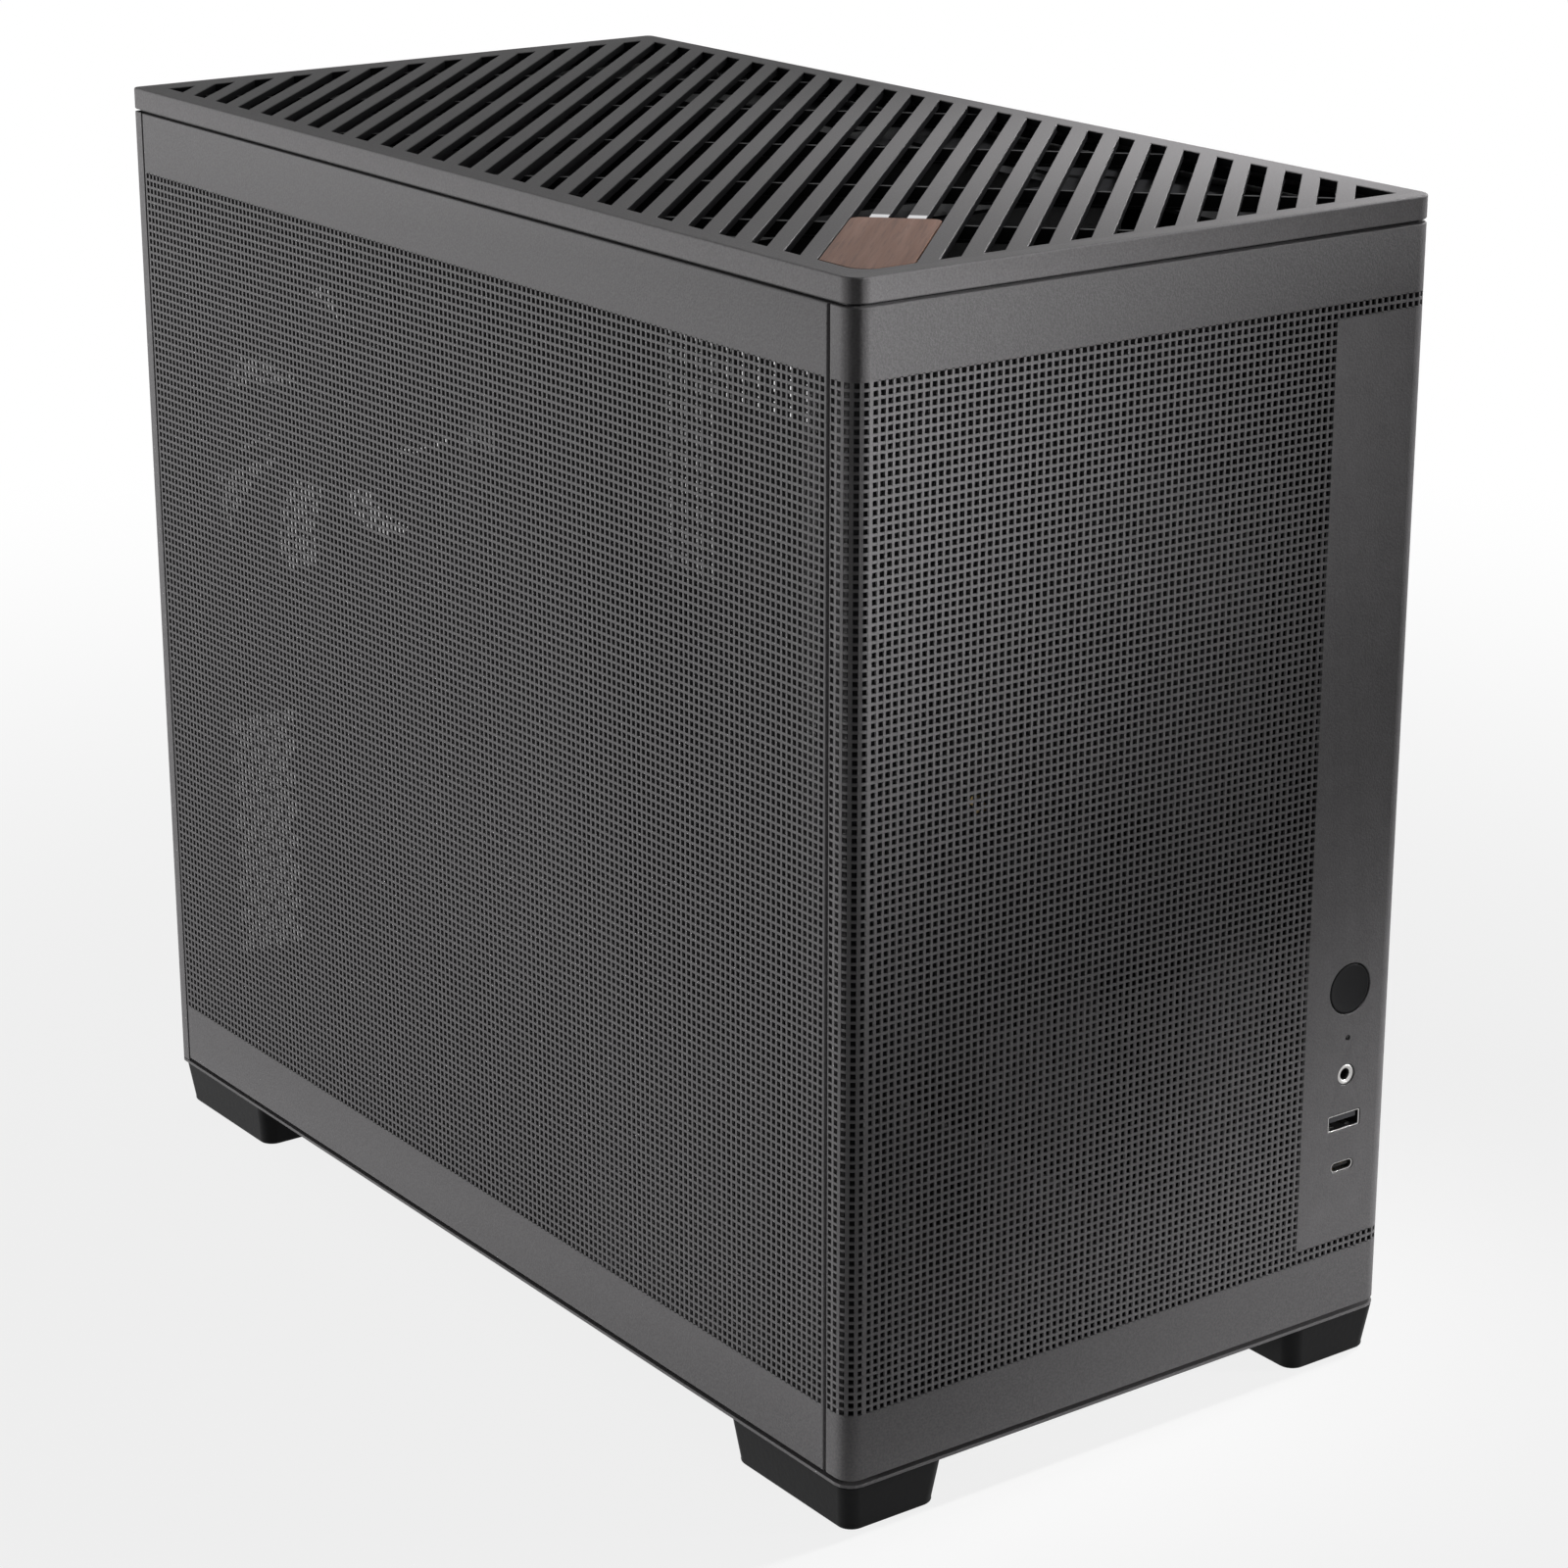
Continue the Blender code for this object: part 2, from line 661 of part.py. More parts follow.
def make_front_panel(finish):
    """Folded front sheet: perforated field, two rows carried across, and holes for the controls."""
    outline = folded_wall(-HALF_D, FRONT_SEAM_Y, FRONT_CORNER)
    panel = solid_group("front_panel", [prism(outline, PANEL_BOTTOM, PANEL_TOP, "Z")], finish)
    flanges = []
    for z0 in (PANEL_BOTTOM, PANEL_TOP - SHEET):
        low = (-INNER_W, -HALF_D + FUSE, z0)
        flanges.append(box(low, (INNER_W, -HALF_D + RETURN_DEPTH, z0 + SHEET)))
    fuse(panel, flanges, "front_flanges")
    top = below_top(FIELD_TOP)
    bottom = below_top(FIELD_BOTTOM)
    cells = grid_cells(FIELD_LEFT, FIELD_RIGHT, bottom, top, FRONT_COLUMNS, FRONT_ROWS, MESH_OPEN)
    for z in (bottom, top - EDGE_ROW_HEIGHT):
        cells += grid_cells(
            FIELD_RIGHT, HALF_W - FRONT_CORNER, z, z + EDGE_ROW_HEIGHT, EDGE_ROW_COLUMNS, 1, MESH_OPEN
        )
    cells.append(circle(IO_X, below_top(BUTTON_DROP), BUTTON_RADIUS + BUTTON_GAP, 24))
    cells.append(circle(IO_X, below_top(LED_DROP), LED_RADIUS + SOCKET_GAP, 8))
    cells.append(circle(IO_X, below_top(JACK_DROP), JACK_RADIUS + SOCKET_GAP, 16))
    cells.append(io_outline(USB_A_SIZE, USB_A_DROP, SOCKET_GAP))
    cells.append(io_outline(USB_C_SIZE, USB_C_DROP, SOCKET_GAP))
    cuts = [prism(cell, -HALF_D - 1.0, -HALF_D + SHEET + 1.0, "Y") for cell in cells]
    cut(panel, cuts, "front_holes")
    return panel


def make_side_panel(name, side, finish):
    """Folded side sheet, perforated from seam to seam, with returned edges all round."""
    y0 = FRONT_SEAM_Y + SEAM_GAP
    y1 = REAR_SEAM_Y - SEAM_GAP
    outer = side * HALF_W
    skin = side * (HALF_W - SHEET)
    tip = side * (HALF_W - RETURN_DEPTH)
    profile = [
        (outer, PANEL_BOTTOM),
        (outer, PANEL_TOP),
        (tip, PANEL_TOP),
        (tip, PANEL_TOP - SHEET),
        (skin, PANEL_TOP - SHEET),
        (skin, PANEL_BOTTOM + SHEET),
        (tip, PANEL_BOTTOM + SHEET),
        (tip, PANEL_BOTTOM),
    ]
    panel = solid_group(name, [prism(profile, y0, y1, "Y")], finish)
    returns = []
    edge = side * (HALF_W - FUSE)
    for y in (y0, y1 - SHEET):
        low = (min(edge, tip), y, PANEL_BOTTOM + FUSE)
        high = (max(edge, tip), y + SHEET, PANEL_TOP - FUSE)
        returns.append(box(low, high))
    fuse(panel, returns, name + "_returns")
    cells = grid_cells(
        y0 + SIDE_MARGIN,
        y1 - SIDE_MARGIN,
        below_top(FIELD_BOTTOM),
        below_top(FIELD_TOP),
        SIDE_COLUMNS,
        SIDE_ROWS,
        MESH_OPEN,
    )
    low = min(outer + side, skin - side)
    high = max(outer + side, skin - side)
    cut(panel, [prism(cell, low, high, "X") for cell in cells], name + "_holes")
    return panel


def make_base_pan(finish):
    """Floor sheet with a U of upstand walls that locate the panels, and vent slots."""
    pan = solid_group("base_pan", [prism(case_outline(), PAN_BOTTOM, PAN_TOP, "Z")], finish)
    back = HALF_D - WALL_FLANGE - SHEET - FIT
    outline = [
        (-INNER_W, back),
        (-INNER_W, -INNER_D),
        (INNER_W, -INNER_D),
        (INNER_W, back),
        (INNER_W - SHEET, back),
        (INNER_W - SHEET, -INNER_D + SHEET),
        (-INNER_W + SHEET, -INNER_D + SHEET),
        (-INNER_W + SHEET, back),
    ]
    fuse(pan, [prism(outline, PAN_TOP - FUSE, PAN_TOP + UPSTAND_HEIGHT, "Z")], "pan_upstand")
    slots = []
    wide = 2 * (FILTER_HALF_WIDTH - BASE_VENT_MARGIN[0]) / BASE_VENT_COLUMNS
    long = 2 * (FILTER_HALF_LENGTH - BASE_VENT_MARGIN[1]) / BASE_VENT_ROWS
    for column in range(BASE_VENT_COLUMNS):
        for row in range(BASE_VENT_ROWS):
            cx = (column - (BASE_VENT_COLUMNS - 1) / 2) * wide
            cy = (row - (BASE_VENT_ROWS - 1) / 2) * long
            half_x = (wide - BASE_VENT_BRIDGE[0]) / 2
            half_y = (long - BASE_VENT_BRIDGE[1]) / 2
            slot = rectangle(cx - half_x, cx + half_x, cy - half_y, cy + half_y)
            slots.append(prism(slot, PAN_BOTTOM - 1.0, PAN_TOP + 1.0, "Z"))
    cut(pan, slots, "pan_vents")
    return pan


def expansion_heights():
    first = IO_OPENING_BOTTOM - EXPANSION_TOP_DROP
    return [first - k * EXPANSION_PITCH for k in range(EXPANSION_SLOTS)]


def expansion_x():
    """Low and high x of the expansion openings; the high end lies at the motherboard's side."""
    high = TRAY_X - STANDOFF_HEIGHT - 2.5
    return high - EXPANSION_OPENING[0], high


def inlet_z():
    return PAN_TOP + INLET_ABOVE_PAN


def make_rear_wall(finish):
    """Rear wall: board opening, expansion openings, fan grille, honeycomb vent and inlet cut-out."""
    outline = folded_wall(HALF_D, REAR_SEAM_Y, REAR_CORNER)
    wall = solid_group("rear_wall", [prism(outline, WALL_BOTTOM, PANEL_TOP, "Z")], finish)
    flanges = []
    for z0 in (WALL_BOTTOM, FLANGE_TOP - SHEET):
        low = (-INNER_W, WALL_INNER_Y - WALL_FLANGE, z0)
        flanges.append(box(low, (INNER_W, WALL_INNER_Y + FUSE, z0 + SHEET)))
    fuse(wall, flanges, "wall_flanges")
    io_high = TRAY_X - STANDOFF_HEIGHT + 0.9
    cells = [
        rectangle(
            io_high - IO_OPENING[0], io_high, IO_OPENING_BOTTOM, IO_OPENING_BOTTOM + IO_OPENING[1]
        )
    ]
    x0, x1 = expansion_x()
    half = EXPANSION_OPENING[1] / 2
    for z in expansion_heights():
        cells.append(rectangle(x0, x1, z - half, z + half))
    reach = FAN_DUCT - WALL_HEX_PITCH / 2

    def in_duct(x, z):
        return math.hypot(x - FAN_X, z - FAN_Z) < reach

    across = WALL_HEX_PITCH - HEX_WEB
    fan_field = (FAN_X - reach, FAN_X + reach, FAN_Z - reach, FAN_Z + reach)
    for x, z in hex_field(*fan_field, WALL_HEX_PITCH, in_duct):
        cells.append(hexagon(x, z, across))
    heights = expansion_heights()
    right = x1 + COVER_OVERLAP - COVER_PLATE[0] - FIT - CLAMP_FOOT - VENT_GAP
    vent = (-HALF_W + VENT_MARGIN, right, heights[-1] - half, heights[0] + half)
    for x, z in hex_field(*vent, WALL_HEX_PITCH, lambda x, z: True):
        cells.append(hexagon(x, z, across))
    cells.append(
        rectangle(
            INLET_X - INLET_BODY[0] / 2 - FIT,
            INLET_X + INLET_BODY[0] / 2 + FIT,
            inlet_z() - INLET_BODY[1] / 2 - FIT,
            inlet_z() + INLET_BODY[1] / 2 + FIT,
        )
    )
    cuts = [prism(cell, WALL_INNER_Y - 1.0, HALF_D + 1.0, "Y") for cell in cells]
    cut(wall, cuts, "wall_openings")
    return wall


def make_slot_covers(finish):
    """One bent bracket for each expansion opening, held by its tab at the left."""
    x0, x1 = expansion_x()
    right = x1 + COVER_OVERLAP
    left = right - COVER_PLATE[0]
    back = WALL_INNER_Y - FIT
    for number, z in enumerate(expansion_heights(), 1):
        profile = [
            (left, back),
            (right, back),
            (right, back - COVER_SHEET),
            (left + COVER_SHEET, back - COVER_SHEET),
            (left + COVER_SHEET, back - COVER_TAB),
            (left, back - COVER_TAB),
        ]
        half = COVER_PLATE[1] / 2
        solid_group(f"slot_cover_{number}", [prism(profile, z - half, z + half, "Z")], finish)


def make_slot_clamp(plate_finish, screw_finish):
    """Folded strip that holds the tabs of the slot covers, with two thumbscrews."""
    leg = expansion_x()[1] + COVER_OVERLAP - COVER_PLATE[0] - FIT
    back = WALL_INNER_Y - FIT
    heights = expansion_heights()
    half = COVER_PLATE[1] / 2
    profile = [
        (leg, back),
        (leg - CLAMP_FOOT, back),
        (leg - CLAMP_FOOT, back - SHEET),
        (leg - SHEET, back - SHEET),
        (leg - SHEET, back - CLAMP_LEG),
        (leg, back - CLAMP_LEG),
    ]
    low = heights[-1] - half
    high = heights[0] + half
    clamp = solid_group("slot_clamp", [prism(profile, low, high, "Z")], plate_finish)
    screw_y = back - CLAMP_LEG / 2 - SHEET
    holes = []
    for number, z in enumerate((low + (high - low) / 4, high - (high - low) / 4), 1):
        holes.append(
            prism(circle(screw_y, z, CLAMP_SCREW_SHANK + FIT, 8), leg - SHEET - 1.0, leg + 1.0, "X")
        )
        head_high = leg - SHEET - FIT
        head = prism(
            circle(screw_y, z, CLAMP_SCREW_RADIUS, 12), head_high - CLAMP_SCREW_HEAD, head_high, "X"
        )
        screw = solid_group(f"clamp_screw_{number}", [head], screw_finish)
        shank = prism(circle(screw_y, z, CLAMP_SCREW_SHANK, 8), head_high - FUSE, leg, "X")
        fuse(screw, [shank], f"clamp_shank_{number}")
    cut(clamp, holes, "clamp_holes")


def make_motherboard_tray(finish):
    """Upright tray with the processor window and slots for cables."""
    y1 = BOARD_REAR
    z0 = WALL_BOTTOM + SHEET + FIT
    z1 = FLANGE_TOP - SHEET - FIT
    tray = solid_group(
        "motherboard_tray",
        [prism(rectangle(TRAY_FRONT, y1, z0, z1), TRAY_X, TRAY_X + SHEET, "X")],
        finish,
    )
    cells = [cpu_window()] + cable_slots(0.0)
    cuts = [prism(cell, TRAY_X - 1.0, TRAY_X + SHEET + 1.0, "X") for cell in cells]
    cut(tray, cuts, "tray_openings")
    return tray


def board_corner():
    """The rear top corner of the motherboard, as y and z."""
    return BOARD_REAR, IO_OPENING_BOTTOM + IO_OPENING[1]


def cpu_window():
    y, z = board_corner()
    cy = y - CPU_CENTRE[0]
    cz = z - CPU_CENTRE[1]
    return rectangle(
        cy - CPU_WINDOW[0] / 2, cy + CPU_WINDOW[0] / 2, cz - CPU_WINDOW[1] / 2, cz + CPU_WINDOW[1] / 2
    )


def cable_slots(inset):
    y = board_corner()[0] - BOARD_SIZE - CABLE_SLOT_SETBACK
    slots = []
    for k in range(CABLE_SLOTS):
        z = CABLE_SLOT_FIRST + k * CABLE_SLOT_PITCH
        half_y = CABLE_SLOT[0] / 2 - inset
        half_z = CABLE_SLOT[1] / 2 - inset
        radius = min(half_y, GROMMET_CORNER)
        slots.append(rounded(y - half_y, y + half_y, z - half_z, z + half_z, (radius, radius), 2))
    return slots


def make_grommets(finish):
    """Rubber collar in each cable slot: a lip on the board side and a sleeve through the slot."""
    outer = cable_slots(FIT)
    lips = cable_slots(-GROMMET_LIP)
    bores = cable_slots(FIT + GROMMET_WALL)
    for number, (sleeve, lip, bore) in enumerate(zip(outer, lips, bores), 1):
        low = TRAY_X - FIT - GROMMET_WALL
        grommet = solid_group(
            f"cable_grommet_{number}", [prism(lip, low, TRAY_X - FIT, "X")], finish
        )
        high = TRAY_X + SHEET + GROMMET_PROUD
        fuse(grommet, [prism(sleeve, low + FUSE, high, "X")], f"grommet_sleeve_{number}")
        cut(grommet, [prism(bore, low - 1.0, high + 1.0, "X")], f"grommet_bore_{number}")


def make_standoffs(finish):
    y0, z0 = board_corner()
    number = 0
    for back in STANDOFF_COLUMNS:
        for down in STANDOFF_ROWS:
            number += 1
            outline = circle(y0 - back, z0 - down, STANDOFF_RADIUS, 6)
            solid_group(
                f"standoff_{number}",
                [prism(outline, TRAY_X - FIT - STANDOFF_HEIGHT, TRAY_X - FIT, "X")],
                finish,
            )


def make_drive_bracket(finish):
    """Folded carrier for a small drive on the back of the tray."""
    y1 = cpu_window()[0][0] - RETURN_DEPTH
    z0 = IO_OPENING_BOTTOM + 30.0
    low = TRAY_X + SHEET + FIT
    profile = [
        (low, z0),
        (low, z0 + DRIVE_SIZE[1]),
        (low + DRIVE_RAIL, z0 + DRIVE_SIZE[1]),
        (low + DRIVE_RAIL, z0 + DRIVE_SIZE[1] - SHEET),
        (low + SHEET, z0 + DRIVE_SIZE[1] - SHEET),
        (low + SHEET, z0 + SHEET),
        (low + DRIVE_RAIL, z0 + SHEET),
        (low + DRIVE_RAIL, z0),
    ]
    solid_group("drive_bracket", [prism(profile, y1 - DRIVE_SIZE[0], y1, "Y")], finish)


def make_front_frame(finish):
    """Upright frame behind the front panel, with returned sides and two windows."""
    outline = [
        (-FRAME_HALF_W, FRAME_FRONT_Y),
        (FRAME_HALF_W, FRAME_FRONT_Y),
        (FRAME_HALF_W, FRAME_FRONT_Y + FRAME_RETURN),
        (FRAME_HALF_W - SHEET, FRAME_FRONT_Y + FRAME_RETURN),
        (FRAME_HALF_W - SHEET, FRAME_BACK_Y),
        (-FRAME_HALF_W + SHEET, FRAME_BACK_Y),
        (-FRAME_HALF_W + SHEET, FRAME_FRONT_Y + FRAME_RETURN),
        (-FRAME_HALF_W, FRAME_FRONT_Y + FRAME_RETURN),
    ]
    frame = solid_group("front_frame", [prism(outline, WALL_BOTTOM, FLANGE_TOP, "Z")], finish)
    cuts = [
        prism(window, FRAME_FRONT_Y - 1.0, FRAME_BACK_Y + 1.0, "Y") for window in frame_windows()
    ]
    cut(frame, cuts, "frame_windows")
    return frame


def frame_windows():
    left = -FRAME_HALF_W + FRAME_POST_LEFT
    right = FRAME_HALF_W - FRAME_POST_RIGHT
    return [
        rectangle(left, right, CAGE_BOTTOM, CAGE_BOTTOM + CAGE_HEIGHT),
        rectangle(left, right, LOWER_WINDOW[0], LOWER_WINDOW[1]),
    ]


def make_psu_cage(finish):
    """Cage for the power supply: vented front plate, two side plates and an open-centred shelf."""
    x0 = CAGE_LEFT - SHEET
    x1 = CAGE_RIGHT + SHEET
    z0 = CAGE_BOTTOM - SHEET
    z1 = CAGE_BOTTOM + CAGE_HEIGHT
    y0 = CAGE_FRONT
    y1 = CAGE_BACK
    plate = rectangle(x0 - CAGE_EAR, x1, z0 - CAGE_EAR, z1 + CAGE_EAR)
    cage = solid_group("psu_cage", [prism(plate, y0, y0 + SHEET, "Y")], finish)
    channel = [
        (x0, z1),
        (x0, z0),
        (x1, z0),
        (x1, z1),
        (x1 - SHEET, z1),
        (x1 - SHEET, z0 + SHEET),
        (x0 + SHEET, z0 + SHEET),
        (x0 + SHEET, z1),
    ]
    fuse(cage, [prism(channel, y0 + FUSE, y1, "Y")], "cage_channel")
    cx = (CAGE_LEFT + CAGE_RIGHT) / 2
    cz = CAGE_BOTTOM + CAGE_HEIGHT / 2
    opening = min(CAGE_RIGHT - CAGE_LEFT, CAGE_HEIGHT)
    half = opening / 2 - CAGE_VENT_MARGIN
    corner = half * math.sqrt(2.0)
    screws = opening / 2 - CAGE_SCREW_MARGIN

    def in_octagon(x, z):
        off_x = abs(x - cx)
        off_z = abs(z - cz)
        margin = CAGE_HEX_PITCH / 2
        outside_hub = math.hypot(off_x, off_z) > CAGE_HUB / 2 + margin
        return outside_hub and off_x + off_z < corner + half * 0.08 - margin

    holes = []
    edge = half - CAGE_HEX_PITCH / 2
    for x, z in hex_field(cx - edge, cx + edge, cz - edge, cz + edge, CAGE_HEX_PITCH, in_octagon):
        holes.append(hexagon(x, z, CAGE_HEX_PITCH - HEX_WEB))
    for sx in (-1, 1):
        for sz in (-1, 1):
            x = cx + sx * screws
            z = cz + sz * screws
            holes.append(circle(x, z, CAGE_SCREW_HOLE / 2, 6))
    cut(cage, [prism(hole, y0 - 1.0, y0 + SHEET + 1.0, "Y") for hole in holes], "cage_vent")
    cut(cage, [prism(cage_shelf_window(), z0 - 1.0, z0 + SHEET + 1.0, "Z")], "cage_shelf")
    return cage


def cage_shelf_window():
    margin = CAGE_SHELF_MARGIN
    y0 = CAGE_FRONT + SHEET + margin
    return rectangle(CAGE_LEFT + margin, CAGE_RIGHT - margin, y0, CAGE_BACK - margin)


def make_top_frame(finish):
    """Roof sheet of the chassis with turned-down sides, two windows and fan mounting slots."""
    frame = solid_group(
        "top_frame",
        [
            prism(
                rectangle(-INNER_W, INNER_W, -INNER_D, WALL_INNER_Y - FIT),
                TOP_FRAME_BOTTOM,
                TOP_FRAME_TOP,
                "Z",
            )
        ],
        finish,
    )
    flanges = []
    y0 = -INNER_D + FRAME_RETURN
    y1 = WALL_INNER_Y - WALL_FLANGE - FIT
    for side in (-1, 1):
        edges = sorted((side * INNER_W, side * (INNER_W - SHEET)))
        low = (edges[0], y0, TOP_FRAME_BOTTOM - TOP_FRAME_FLANGE)
        flanges.append(box(low, (edges[1], y1, TOP_FRAME_TOP - FUSE)))
    fuse(frame, flanges, "top_frame_flanges")
    cells = [
        rectangle(*TOP_WINDOW_X, *TOP_WINDOW_Y),
        rectangle(*TOP_WINDOW_X, *TOP_FRONT_WINDOW_Y),
    ]
    pitch = (TOP_WINDOW_Y[1] - TOP_WINDOW_Y[0]) / TOP_SLOTS
    for x in (TOP_WINDOW_X[0] - TOP_SLOT_OFFSET, TOP_WINDOW_X[1] + TOP_SLOT_OFFSET):
        for k in range(TOP_SLOTS):
            y = TOP_WINDOW_Y[0] + (k + 0.5) * pitch
            half_x = TOP_SLOT[0] / 2
            half_y = TOP_SLOT[1] / 2
            cells.append(rectangle(x - half_x, x + half_x, y - half_y, y + half_y))
    cuts = [prism(cell, TOP_FRAME_BOTTOM - 1.0, TOP_FRAME_TOP + 1.0, "Z") for cell in cells]
    cut(frame, cuts, "top_frame_openings")
    return frame


def make_rear_fan(frame_finish, rotor_finish):
    """A 120 mm fan: square frame with struts and a hub base, and a seven-bladed rotor on a pin."""
    y1 = WALL_INNER_Y - FIT
    y0 = y1 - FAN_DEPTH
    half = FAN_SIZE / 2
    outline = rounded(FAN_X - half, FAN_X + half, FAN_Z - half, FAN_Z + half, (4.0, 4.0), 2)
    frame = solid_group("rear_fan_frame", [prism(outline, y0, y1, "Y")], frame_finish)
    bores = [prism(circle(FAN_X, FAN_Z, FAN_DUCT, 32), y0 - 1.0, y1 + 1.0, "Y")]
    for sx in (-1, 1):
        for sz in (-1, 1):
            x = FAN_X + sx * FAN_SCREWS / 2
            z = FAN_Z + sz * FAN_SCREWS / 2
            bores.append(prism(circle(x, z, FAN_SCREW_HOLE, 6), y0 - 1.0, y1 + 1.0, "Y"))
    cut(frame, bores, "fan_bores")
    base_y = y1 - FAN_BASE_THICKNESS
    reach = FAN_DUCT + FUSE
    cross = []
    quarter = FAN_STRUT / 2
    for sx, sz in ((1, 1), (-1, 1), (-1, -1), (1, -1)):
        cross.append((FAN_X + sx * quarter, FAN_Z + sz * quarter))
    tips = []
    for turn in (0.0, 90.0, 180.0, 270.0):
        along = Vector((math.cos(math.radians(turn)), math.sin(math.radians(turn))))
        across = Vector((-along.y, along.x)) * quarter
        middle = Vector((FAN_X, FAN_Z))
        tips.append(tuple(middle + along * quarter - across))
        tips.append(tuple(middle + along * reach - across))
        tips.append(tuple(middle + along * reach + across))
    fuse(frame, [prism(tips, base_y + FUSE, y1, "Y")], "fan_struts")
    base = prism(circle(FAN_X, FAN_Z, FAN_BASE_RADIUS, 24), base_y, y1, "Y")
    fuse(frame, [base], "fan_base")
    pin_front = base_y - ROTOR_GAP - ROTOR_HUB_DEPTH + 3.0
    pin = prism(circle(FAN_X, FAN_Z, FAN_PIN_RADIUS, 12), pin_front, base_y + FUSE, "Y")
    fuse(frame, [pin], "fan_pin")
    hub_back = base_y - ROTOR_GAP
    hub_front = hub_back - ROTOR_HUB_DEPTH
    profile = [
        (0.0, hub_front),
        (ROTOR_HUB_RADIUS - 1.5, hub_front),
        (ROTOR_HUB_RADIUS, hub_front + 1.5),
        (ROTOR_HUB_RADIUS, hub_back),
        (FAN_BORE_RADIUS, hub_back),
        (FAN_BORE_RADIUS, pin_front - ROTOR_GAP),
        (0.0, pin_front - ROTOR_GAP),
    ]
    rotor = turned("rear_fan_rotor", profile, 28, rotor_finish, (FAN_X, FAN_Z))
    blades = [blade(k * 360.0 / BLADES, hub_front + 1.5, hub_back - 1.5) for k in range(BLADES)]
    fuse(rotor, blades, "fan_blades")


def blade(turn, y_front, y_back):
    """One swept blade from inside the hub to the tip, thin and pitched across the air flow."""
    points = []
    for station in range(BLADE_STATIONS):
        share = station / (BLADE_STATIONS - 1)
        radius = ROTOR_HUB_RADIUS - 1.0 + share * (ROTOR_RADIUS - ROTOR_HUB_RADIUS + 1.0)
        sweep = math.radians(turn + 22.0 * share)
        spread = math.radians(17.0 + 3.0 * share)
        thick = math.radians(3.0 - 1.6 * share)
        for y, angle in (
            (y_front, sweep - spread - thick),
            (y_back, sweep + spread - thick),
            (y_back, sweep + spread + thick),
            (y_front, sweep - spread + thick),
        ):
            x = FAN_X + radius * math.cos(angle)
            z = FAN_Z + radius * math.sin(angle)
            points.append((x, y, z))
    faces = [[0, 1, 2, 3]]
    for station in range(BLADE_STATIONS - 1):
        a = 4 * station
        b = a + 4
        for i in range(4):
            j = (i + 1) % 4
            faces.append([a + j, a + i, b + i, b + j])
    last = 4 * (BLADE_STATIONS - 1)
    faces.append([last + 3, last + 2, last + 1, last])
    return points, [face[::-1] for face in faces]


